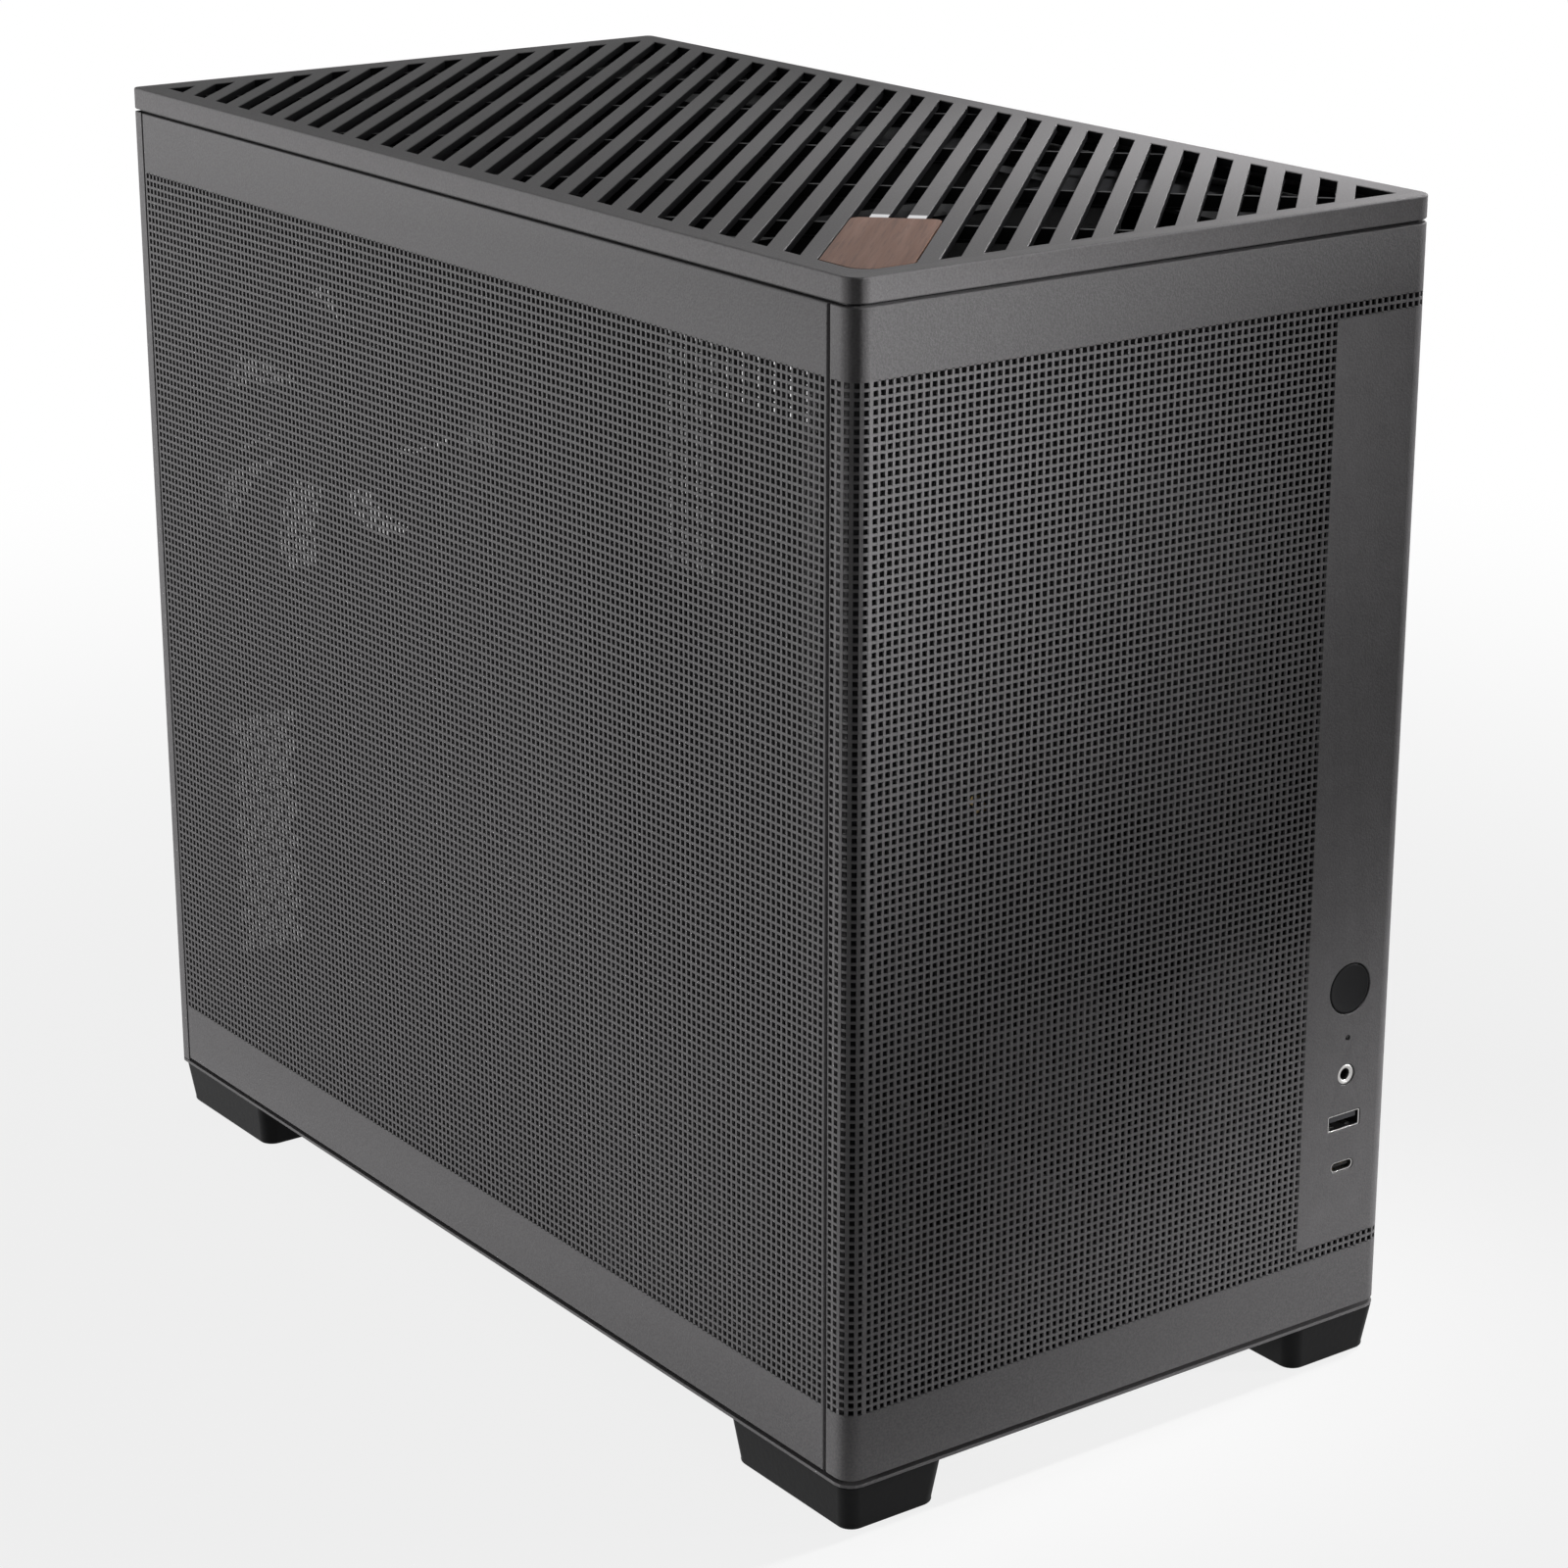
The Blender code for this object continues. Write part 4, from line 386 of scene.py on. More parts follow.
polished_tip = bare_metal("polished_tip", (0.56, 0.56, 0.57), 0.24, (60.0, 60.0, 60.0), 0.000003)
brass = bare_metal("brass", (0.6, 0.44, 0.19), 0.3)
gold = bare_metal("gold_contact", (0.83, 0.6, 0.24), 0.25)
black_steel = bare_metal("blackened_steel", (0.045, 0.045, 0.047), 0.42, (300.0, 300.0, 300.0))
black_screw = bare_metal("black_screw", (0.05, 0.05, 0.052), 0.35, (400.0, 400.0, 400.0))
walnut = oiled_walnut()
board_mask = circuit_board()
weave = nylon_weave()


# ---------------- shaping

class Body:
    """Points and faces of one piece, collected in millimetres."""

    def __init__(self):
        self.points = []
        self.faces = []
        self.slots = []
        self.slot = 0

    def add(self, points):
        start = len(self.points)
        self.points.extend(tuple(point) for point in points)
        return list(range(start, len(self.points)))

    def face(self, corners):
        self.faces.append(tuple(corners))
        self.slots.append(self.slot)

    def flip(self, start=0):
        """Turns the faces from number start on inside out."""
        self.faces[start:] = [face[::-1] for face in self.faces[start:]]

    def strip(self, first, second):
        """Quads between two rings of as many points."""
        count = len(first)
        for i in range(count):
            j = (i + 1) % count
            self.face((first[i], first[j], second[j], second[i]))

    def loft(self, rings, caps=True, closed=False):
        """Skins rings of points, and closes the ends or joins last to first."""
        rows = [self.add(ring) for ring in rings]
        for low, high in zip(rows, rows[1:]):
            self.strip(low, high)
        if closed:
            self.strip(rows[-1], rows[0])
        elif caps:
            self.face(rows[0][::-1])
            self.face(rows[-1])

    def cuboid(self, low, high, ease=0.0):
        """A bar, with all its edges eased by a small chamfer where one is given."""
        (x0, y0, z0), (x1, y1, z1) = low, high
        if not ease:
            self.loft([[(x0, y0, z), (x1, y0, z), (x1, y1, z), (x0, y1, z)] for z in (z0, z1)])
            return
        rings = []
        for z, inset in ((z0, ease), (z0 + ease, 0.0), (z1 - ease, 0.0), (z1, ease)):
            a, b, c, d = x0 + inset, x1 - inset, y0 + inset, y1 - inset
            rings.append([
                (a + ease, c, z), (b - ease, c, z), (b, c + ease, z), (b, d - ease, z),
                (b - ease, d, z), (a + ease, d, z), (a, d - ease, z), (a, c + ease, z),
            ])
        self.loft(rings)

    def sheet(self, outline, holes, place, low, high, chamfer=0.0, walls=0):
        """A plate between two levels, drawn in plan.

        The outline and the holes are 2-D, and place(u, v, level) puts them in space. The walls
        of the holes may take a second material, which on the cover is black as painted shade.
        """
        for level, inset in ((high, chamfer), (low, 0.0)):
            rings = [outline] + [grown(hole, inset) for hole in holes]
            flat = [point for ring in rings for point in ring]
            corners = self.add(place(u, v, level) for u, v in flat)
            loops = [[Vector((*point, 0.0)) for point in ring] for ring in rings]
            for tri in tessellate_polygon(loops):
                turned = [corners[i] for i in tri]
                a, b, c = (Vector(flat[i]) for i in tri)
                spin = (b - a).cross(c - a)
                if (spin < 0) == (level == high):
                    turned.reverse()
                self.face(turned)
        self.rim(outline, place, ((low, 0.0), (high, 0.0)), False)
        levels = [(low, 0.0), (high - chamfer, 0.0)]
        if chamfer:
            levels.append((high, chamfer))
        for hole in holes:
            self.rim(hole, place, levels, True, walls)

    def rim(self, ring, place, levels, inward, walls=0):
        """The upright faces along a ring: the lowest band takes the walls' material, black painted
        shade on the cover's slots.
        """
        rows = []
        for level, inset in levels:
            rows.append(self.add(place(u, v, level) for u, v in grown(ring, inset)))
        wound = signed_area(ring) > 0
        for low, high in zip(rows, rows[1:]):
            self.slot = walls if low is rows[0] else 0
            if wound == inward:
                self.strip(high, low)
            else:
                self.strip(low, high)
        self.slot = 0

    def turned(self, profile, centre, axis, sides, closed=False):
        """A profile of (radius, distance along axis) spun round it."""
        axis = Vector(axis)
        across = axis.orthogonal().normalized()
        over = axis.cross(across)
        rings = []
        for radius, reach in profile:
            middle = Vector(centre) + axis * reach
            ring = circle(0.0, 0.0, radius, sides)
            rings.append([middle + (across * x + over * y) for x, y in ring])
        self.loft(rings, closed=closed)


def signed_area(ring):
    return sum(a[0] * b[1] - b[0] * a[1] for a, b in zip(ring, ring[1:] + ring[:1])) / 2


def grown(ring, by):
    """A convex ring with every edge moved out by a distance."""
    if not by:
        return list(ring)
    side = 1 if signed_area(ring) > 0 else -1
    lines = []
    for a, b in zip(ring, ring[1:] + ring[:1]):
        run = (Vector(b) - Vector(a)).normalized()
        out = Vector((run.y, -run.x)) * side
        lines.append((Vector(a) + out * by, run))
    moved = []
    for (p, d), (q, e) in zip(lines[-1:] + lines[:-1], lines):
        turn = d.cross(e)
        if abs(turn) < 1e-6:
            moved.append(tuple(q))
        else:
            moved.append(tuple(p + d * ((q - p).cross(e) / turn)))
    return moved


def piece(name, body, finishes, rides, stands_for=(), slot=None, smooth=35.0, weighted=True):
    """Makes the object, shades it and ties it to the frame."""
    mesh = bpy.data.meshes.new(name)
    mesh.from_pydata([tuple(c * MM for c in point) for point in body.points], [], body.faces)
    mesh.validate()
    for finish in finishes if isinstance(finishes, list) else [finishes]:
        mesh.materials.append(finish)
    if len(body.slots) == len(mesh.polygons):
        mesh.polygons.foreach_set("material_index", body.slots)
    mesh.shade_smooth()
    mesh.set_sharp_from_angle(angle=math.radians(smooth))
    obj = bpy.data.objects.new(name, mesh)
    bpy.context.scene.collection.objects.link(obj)
    if weighted:
        even = obj.modifiers.new("even_normals", "WEIGHTED_NORMAL")
        even.keep_sharp = True
    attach(obj, rides)
    if stands_for:
        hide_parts(*stands_for)


def bars(name, blocks, ease, finish, rides="chassis", **options):
    """A piece made of plain bars."""
    body = Body()
    for low, high in blocks:
        body.cuboid(low, high, ease)
    piece(name, body, finish, rides, **options)


def circle(cx, cy, radius, sides, start=0.0):
    """A regular ring of points, from a start angle in degrees."""
    angles = [2 * math.pi * k / sides + math.radians(start) for k in range(sides)]
    return [(cx + radius * math.cos(angle), cy + radius * math.sin(angle)) for angle in angles]


def arc(cx, cy, radius, start, steps):
    """A quarter circle, from a start angle in degrees."""
    angles = [math.radians(start + 90.0 * k / steps) for k in range(steps + 1)]
    return [(cx + radius * math.cos(angle), cy + radius * math.sin(angle)) for angle in angles]


def rectangle(x0, x1, y0, y1):
    return [(x0, y0), (x1, y0), (x1, y1), (x0, y1)]


def rounded(x0, x1, y0, y1, radius, steps=6):
    """A rectangle with rounded corners."""
    a, b, c, d = x0 + radius, x1 - radius, y0 + radius, y1 - radius
    corners = ((b, c, -90.0), (b, d, 0.0), (a, d, 90.0), (a, c, 180.0))
    return [point for cx, cy, start in corners for point in arc(cx, cy, radius, start, steps)]


def honeycomb(x0, x1, y0, y1, pitch, width, keep=lambda x, y: True):
    """Six-sided holes of one width that fit a rectangle and pass a test."""
    rise = pitch * math.sqrt(3.0) / 2
    rows = int((y1 - y0 - pitch) / rise) + 1
    columns = int((x1 - x0 - pitch) / pitch) + 1
    half = pitch / 2
    cells = []
    for row in range(-(rows // 2), rows // 2 + 1):
        y = (y0 + y1) / 2 + row * rise
        for column in range(-(columns // 2) - 1, columns // 2 + 2):
            x = (x0 + x1) / 2 + (column + (0.5 if row % 2 else 0.0)) * pitch
            if x0 + half <= x <= x1 - half and y0 + half <= y <= y1 - half and keep(x, y):
                cells.append(circle(x, y, width / math.sqrt(3.0), 6, 30.0))
    return cells


def lying(u, v, level):
    """Puts a plan on the level."""
    return (u, v, level)


def standing(u, v, level):
    """Puts a plan upright across the case."""
    return (u, level, v)


# ---------------- perforated panels

BEND_START = HALF_W - FRONT_CORNER
BEND_LENGTH = FRONT_CORNER * math.pi / 2
BEND_STATIONS = [BEND_START + BEND_LENGTH * k / 12 for k in range(13)]
FRONT_EDGE = BEND_START + BEND_LENGTH + (HALF_D - FRONT_CORNER + FRONT_SEAM_Y)
ROW_HEIGHTS = [ROW_FIRST - ROW_PITCH * k for k in range(ROWS)]


def front_place(a, z, depth):
    """A point of the front panel: a runs along the folded face, depth goes into the case."""
    side = 1 if a > 0 else -1
    run = abs(a) - BEND_START
    if run <= 0:
        return (a, -HALF_D + depth, z)
    if run >= BEND_LENGTH:
        return (side * (HALF_W - depth), -HALF_D + FRONT_CORNER + run - BEND_LENGTH, z)
    angle = run / FRONT_CORNER
    radius = FRONT_CORNER - depth
    x = BEND_START + radius * math.sin(angle)
    return (side * x, -HALF_D + FRONT_CORNER - radius * math.cos(angle), z)


def front_runs(a0, a1):
    """Places along the front where a level bar needs a point to follow the bends."""
    return [a0] + sorted(s for b in BEND_STATIONS for s in (-b, b) if a0 < s < a1) + [a1]


def side_runs(a0, a1):
    return [a0, a1]


def upright(body, place, a0, a1, z0, z1, sheet):
    """An upright bar of the perforated sheet."""
    plan = ((a0, 0.0), (a1, 0.0), (a1, sheet), (a0, sheet))
    body.loft([[place(a, z, depth) for a, depth in plan] for z in (z0, z1)])


def crosswise(body, place, runs, z0, z1, a0, a1, sheet):
    """A level bar of the perforated sheet, a hair inside the upright bars' faces."""
    d0, d1 = WEFT_INSET, sheet - WEFT_INSET
    section = ((z0, d0), (z0, d1), (z1, d1), (z1, d0))
    body.loft([[place(a, z, depth) for z, depth in section] for a in runs(a0, a1)])


def folded_frame(body, place, outer, field, runs):
    """The plain border of a panel as one closed ring: face, bend, return and inside face."""
    a0, a1, z0, z1 = outer

    def ring(b0, b1, y0, y1, level):
        row = [min(max(a, b0), b1) for a in runs(a0, a1)]
        return [place(a, y0, level) for a in row] + [place(a, y1, level) for a in reversed(row)]

    # insets and depths over the bend, down the return and back up inside it
    inner = SHEET + INNER_BEND
    profile = arc(EDGE_BEND, EDGE_BEND, EDGE_BEND, 180.0, 4)[::-1]
    profile += [(0.0, RETURN_DEPTH), (SHEET, RETURN_DEPTH)]
    profile += arc(inner, inner, INNER_BEND, 180.0, 2)
    rings = [ring(*field, 0.0)]
    for inset, level in profile:
        rings.append(ring(a0 + inset, a1 - inset, z0 + inset, z1 - inset, level))
    rings.append(ring(*field, SHEET))
    body.loft(rings, closed=True)


def make_front():
    """Front sheet: the field of holes beside a plain strip, with two rows of holes round it."""
    body = Body()
    half = HOLE / 2
    # the sheet stretches round the bend, so its holes stand further apart there
    columns = [*BEND_HOLES, *(FRONT_FIRST + FRONT_PITCH * k for k in range(FRONT_COLUMNS))]
    extra = [FRONT_LAST + FRONT_PITCH * k for k in range(1, EXTRA_COLUMNS + 1)]
    left, right = columns[0] - half, extra[-1] + half
    top, bottom = ROW_HEIGHTS[0] + half, ROW_HEIGHTS[-1] - half
    strip_left = columns[-1] + half
    strip_top, strip_bottom = ROW_HEIGHTS[1] - half, ROW_HEIGHTS[-2] + half
    folded_frame(
        body, front_place, (-FRONT_EDGE, FRONT_EDGE, PANEL_BOTTOM, PANEL_TOP),
        (left, right, bottom, top), front_runs,
    )

    def post(a, b, low, high):
        upright(body, front_place, a + half, b - half, low - LAP, high + LAP, FRONT_MESH)

    for a, b in zip(columns, columns[1:]):
        post(a, b, bottom, top)
    for a, b in zip([columns[-1]] + extra, extra):
        post(a, b, strip_top, top)
        post(a, b, bottom, strip_bottom)
    for k, (high, low) in enumerate(zip(ROW_HEIGHTS, ROW_HEIGHTS[1:])):
        reach = (right if k in (0, ROWS - 2) else strip_left) + LAP
        crosswise(
            body, front_place, front_runs, low + half, high - half, left - LAP, reach, FRONT_MESH
        )

    # plain strip at the right, with the holes of the controls, and its end in the bend
    outline = rectangle(strip_left, BEND_START, strip_bottom, strip_top)
    holes = [
        circle(IO_X, BUTTON_Z, BUTTON_HOLE, 56),
        circle(IO_X, LED_Z, LED_HOLE, 20),
        circle(IO_X, JACK_Z, JACK_HOLE, 40),
        rounded(IO_X - 6.8, IO_X + 6.8, USB_A_Z - 2.85, USB_A_Z + 2.85, 0.9, 5),
        rounded(IO_X - 4.7, IO_X + 4.7, USB_C_Z - 1.8, USB_C_Z + 1.8, 1.79, 8),
    ]
    body.sheet(outline, holes, lambda u, v, level: front_place(u, v, -level), -SHEET, 0.0, 0.15)
    section = ((strip_bottom, 0.0), (strip_bottom, SHEET), (strip_top, SHEET), (strip_top, 0.0))
    bend = [a for a in BEND_STATIONS if a < right] + [right]
    body.loft([[front_place(a, z, depth) for z, depth in section] for a in bend], caps=False)
    piece(
        "front_mesh_panel", body, panel_coat, "front_panel", ["front_panel"], "powder_coat_grey",
        weighted=False,
    )


def make_side(name, node, side):
    """Side sheet: one field of holes in a folded border."""
    def place(a, z, depth):
        return (side * (HALF_W - depth), a, z)

    body = Body()
    half = HOLE / 2
    columns = [SIDE_FIRST + SIDE_PITCH * k for k in range(SIDE_COLUMNS)]
    front, rear = columns[0] - half, columns[-1] + half
    bottom, top = ROW_HEIGHTS[-1] - half, ROW_HEIGHTS[0] + half
    outer = (SIDE_FRONT_Y, SIDE_REAR_Y, PANEL_BOTTOM, PANEL_TOP)
    folded_frame(body, place, outer, (front, rear, bottom, top), side_runs)
    for a, b in zip(columns, columns[1:]):
        upright(body, place, a + half, b - half, bottom - LAP, top + LAP, SIDE_MESH)
    for high, low in zip(ROW_HEIGHTS, ROW_HEIGHTS[1:]):
        crosswise(
            body, place, side_runs, low + half, high - half, front - LAP, rear + LAP, SIDE_MESH
        )
    if side > 0:
        body.flip()
    piece(name, body, panel_coat, node, [node], "powder_coat_grey", weighted=False)


# ---------------- top cover

def along(point):
    """How far a point lies along the slots."""
    return (point[0] + point[1]) / ROOT2


def across(point):
    """How far a point lies across the slots."""
    return (point[1] - point[0]) / ROOT2


def on_slots(s, o):
    """The point at a distance along and a distance across the slots."""
    return ((s - o) / ROOT2, (s + o) / ROOT2)


def clip(ring, nx, ny, limit):
    """The part of a convex ring on the near side of a line."""
    kept = []
    for a, b in zip(ring, ring[1:] + ring[:1]):
        da = a[0] * nx + a[1] * ny - limit
        db = b[0] * nx + b[1] * ny - limit
        if da <= 0:
            kept.append(a)
        if (da < 0 < db) or (db < 0 < da):
            share = da / (da - db)
            kept.append((a[0] + (b[0] - a[0]) * share, a[1] + (b[1] - a[1]) * share))
    return kept


def diagonal(middle, width, rect):
    """The part of a 45 degree strip that lies in a rectangle."""
    ring = clip(rectangle(*rect), -1 / ROOT2, 1 / ROOT2, middle + width / 2)
    return clip(ring, 1 / ROOT2, -1 / ROOT2, -(middle - width / 2))


def slot_middle(k):
    return BAR_PHASE + (k + 0.5) * SLOT_PITCH


def slot_ring(k):
    return diagonal(slot_middle(k), SLOT_WIDTH, WINDOW)


def softened(ring, radii, steps=6):
    """A convex ring with each corner rounded to its own radius."""
    made = []
    count = len(ring)
    for i in range(count):
        here, before, after = Vector(ring[i]), Vector(ring[i - 1]), Vector(ring[(i + 1) % count])
        to_a, to_b = (before - here).normalized(), (after - here).normalized()
        half = math.acos(max(-1.0, min(1.0, to_a.dot(to_b)))) / 2
        longest = min((before - here).length, (after - here).length) * 0.49
        reach = min(radii[i] / math.tan(half), longest)
        radius = reach * math.tan(half)
        centre = here + (to_a + to_b).normalized() * (radius / math.sin(half))
        start, end = here + to_a * reach - centre, here + to_b * reach - centre
        first = math.atan2(start.y, start.x)
        turn = (math.atan2(end.y, end.x) - first + math.pi) % (2 * math.pi) - math.pi
        for k in range(steps + 1):
            angle = first + turn * k / steps
            made.append((centre.x + radius * math.cos(angle), centre.y + radius * math.sin(angle)))
    return made


def badge_ring(inset, end=BADGE_END):
    """Plan of the badge: three slots wide, with the window's corner cut into one end."""
    rect = (WINDOW[0] + inset, WINDOW[1], WINDOW[2] + inset, WINDOW[3])
    ring = diagonal(slot_middle(BADGE_SLOT), BADGE_WIDTH - 2 * inset, rect)
    ring = clip(ring, 1 / ROOT2, 1 / ROOT2, end - inset)
    corner = min(ring, key=along)
    radii = []
    for point in ring:
        far = along(point) > end - inset - 0.01
        radii.append((6.5 if point == corner else 3.2 if far else 1.2) - inset)
    return softened(ring, radii)


def badge_hole():
    """The badge's pocket run together with the slots behind it and the seats of the bar ends."""
    kept = [point for point in badge_ring(0.0, BADGE_END + 20.0) if along(point) < BADGE_END - 0.5]
    start = max(range(len(kept)), key=lambda i: math.dist(kept[i], kept[i - 1]))
    kept = kept[start:] + kept[:start]
    seat = BADGE_END + TIP_LENGTH
    teeth = []
    for k in (BADGE_SLOT + 1, BADGE_SLOT, BADGE_SLOT - 1):
        slot = clip(slot_ring(k), -1 / ROOT2, -1 / ROOT2, -BADGE_END)
        upper, lower = max(map(across, slot)) - 0.01, min(map(across, slot)) + 0.01
        high = [point for point in slot if across(point) > upper]
        low = [point for point in slot if across(point) < lower]
        between = [point for point in slot if lower <= across(point) <= upper]
        tooth = sorted(high, key=along)
        tooth += sorted(between, key=across, reverse=True)
        tooth += sorted(low, key=along, reverse=True)
        if teeth:
            teeth[-1] = on_slots(seat, across(teeth[-1]))
            tooth[0] = on_slots(seat, across(tooth[0]))
        teeth += tooth
    if across(kept[0]) > across(kept[-1]):
        kept.reverse()
    return kept + teeth


def cover_outline(inset=0.0):
    """Plan of the cover: rounder corners in front than behind."""
    x, y = HALF_W - inset, HALF_D - inset
    front, rear = max(0.05, FRONT_CORNER - inset), max(0.05, REAR_CORNER - inset)
    return (
        arc(x - front, front - y, front, -90.0, 12) + arc(x - rear, y - rear, rear, 0.0, 8)
        + arc(rear - x, y - rear, rear, 90.0, 8) + arc(front - x, front - y, front, 180.0, 12)
    )


def make_cover():
    """Moulded pan: slotted face, skirt, locating lip, and cross ribs under the bars; the slot
    walls, lip and ribs are black, painted shade.
    """
    body = Body()
    slots = [k for k in range(-19, 19) if len(slot_ring(k)) >= 3]
    slots = [k for k in slots if abs(signed_area(slot_ring(k))) > SLOT_WIDTH]
    slots = [k for k in slots if abs(k - BADGE_SLOT) > 1]
    holes = [slot_ring(k) for k in slots]
    # the last slot at either corner runs out to the corner of the window
    for end, out in ((0, -0.5), (-1, 0.5)):
        holes[end] = diagonal(slot_middle(slots[end] + out), SLOT_WIDTH + SLOT_PITCH, WINDOW)
    holes.append(badge_hole())
    face = cover_outline(COVER_EDGE)
    # the lower walls of the slots take the black second material: painted shade where little light
    # reaches into the slots
    body.sheet(face, holes, lying, COVER_UNDERSIDE, CASE_TOP, SLOT_CHAMFER, walls=1)

    edge = arc(COVER_EDGE, COVER_EDGE, COVER_EDGE, 180.0, 5)[::-1]
    skirt = [(inset, CASE_TOP - drop) for inset, drop in edge]
    skirt += [
        (0.0, SKIRT_BOTTOM + 0.3), (0.3, SKIRT_BOTTOM),
        (COVER_WALL, SKIRT_BOTTOM), (COVER_WALL, COVER_UNDERSIDE),
    ]
    body.loft([[(x, y, z) for x, y in cover_outline(i)][::-1] for i, z in skirt], caps=False)
    # the lip and the ribs take the black second material: painted shade in the seam under the
    # skirt and under the bars
    body.slot = 1
    lip = ((2.1, 364.02), (2.1, 366.5), (3.0, 366.5), (3.0, 364.02))
    body.loft([[(x, y, z) for x, y in cover_outline(i)][::-1] for i, z in lip], closed=True)

    mirrored = (-WINDOW[1] - 1.0, -WINDOW[0] + 1.0, WINDOW[2] - 1.0, WINDOW[3] + 1.0)
    for middle in (-128.03, -68.145, 0.0, 68.145, 128.03):
        # a thin web, and a wider flange along its lower edge
        for top, half in ((COVER_UNDERSIDE + 0.4, 0.9), (RIB_BOTTOM + 0.8, 1.9)):
            ring = [(-x, y) for x, y in diagonal(middle, 2 * half, mirrored)]
            if signed_area(ring) < 0:
                ring.reverse()
            body.loft([[(x, y, z) for x, y in ring] for z in (RIB_BOTTOM, top)])
    piece(
        "slotted_cover", body, [cover_coat, black_coat_and_shade], "top_cover", ["top_cover"], "cover_grey"
    )


def make_badge():
    """The wooden inlay, the floor it lies on and the bright ends of the two bars behind it."""
    body = Body()
    levels = ((370.0, 0.3), (371.75, 0.3), (371.92, 0.38), (CASE_TOP, 0.55))
    body.loft([[(x, y, z) for x, y in badge_ring(inset)] for z, inset in levels])
    piece("walnut_badge", body, walnut, "top_cover", ["wood_badge"], "walnut", smooth=50.0)

    floor = Body()
    ring = diagonal(slot_middle(BADGE_SLOT), BADGE_WIDTH + 2.0, WINDOW)
    ring = clip(ring, 1 / ROOT2, 1 / ROOT2, BADGE_END - 0.1)
    floor.loft([[(x, y, z) for x, y in ring] for z in (368.5, 369.7)])
    piece("badge_floor", floor, cover_coat, "top_cover")

    half = (SLOT_PITCH - SLOT_WIDTH) / 2 - 0.1
    near, far = BADGE_END + 0.1, BADGE_END + TIP_LENGTH - 0.1
    levels = ((370.8, 0.0), (371.85, 0.0), (CASE_TOP, 0.2))
    for number in (1, 2):
        low, high = [BAR_PHASE + (BADGE_SLOT + number - 1) * SLOT_PITCH + h for h in (-half, half)]
        ring = [on_slots(s, o) for s, o in ((near, low), (far, low), (far, high), (near, high))]
        tip = Body()
        tip.loft([[(x, y, z) for x, y in grown(ring, -inset)] for z, inset in levels])
        node = f"badge_tip_{number}"
        piece(f"badge_end_{number}", tip, polished_tip, "top_cover", [node], "satin_metal")


# ---------------- feet

def make_foot(node, sx, sy):
    """Tapered moulded block with soft edges and a pocket for its sole."""
    cx, cy = sx * FOOT_CENTRE[0], sy * FOOT_CENTRE[1]
    levels = [(0.25, 15.5, 5.0), (0.08, 15.42, 5.0), (0.0, 15.2, 5.0)]
    levels += [(FOOT_TAPER * (15.2 - z), z, 5.0) for z in (13.0, 10.0, 7.0, 4.0, 1.9)]
    levels += [(inset, z, 4.6) for inset, z in arc(FOOT_TAPER * 13.6 + 1.0, 1.6, 1.0, 180.0, 4)]
    levels += [(5.9, 0.6, 3.0), (6.0, 0.8, 3.0), (6.0, 2.7, 3.0)]
    rings = []
    for inset, z, radius in levels:
        hx, hy = FOOT_HALF[0] - inset, FOOT_HALF[1] - inset
        plan = rounded(cx - hx, cx + hx, cy - hy, cy + hy, radius, 8)
        rings.append([(x, y, z) for x, y in reversed(plan)])
    body = Body()
    body.loft(rings)
    name = node.replace("foot", "moulded_foot")
    piece(name, body, foot_black, "chassis", [node], "foot_black", smooth=40.0)


# ---------------- controls

def spun(name, profile, z, sides, finish, rides="chassis", stands_for=(), slot=None):
    """A round control on the line of the controls."""
    body = Body()
    body.turned(profile, (IO_X, 0.0, z), BACKWARD, sides)
    piece(name, body, finish, rides, stands_for, slot)


def socket(name, node, size, z, corner, wall, finishes, slot):
    """The metal shell of a socket, with its back."""
    def place(u, v, level):
        return (u, -level, v)

    body = Body()
    hx, hz = size[0] / 2, size[1] / 2
    outer = rounded(IO_X - hx, IO_X + hx, z - hz, z + hz, corner)
    hx, hz = hx - wall, hz - wall
    inner = rounded(IO_X - hx, IO_X + hx, z - hz, z + hz, max(0.3, corner - wall))
    body.sheet(outer, [inner], place, 191.5, -IO_FACE, 0.14)
    body.loft([[place(u, v, level) for u, v in grown(inner, 0.1)] for level in (191.6, 192.4)])
    if len(finishes) > 1:
        # the bare edge of the shell shows bright
        rim = IO_FACE + 0.2
        body.slots = [int(all(body.points[i][1] < rim for i in face)) for face in body.faces]
    piece(name, body, finishes, "chassis", [node], slot, smooth=50.0)


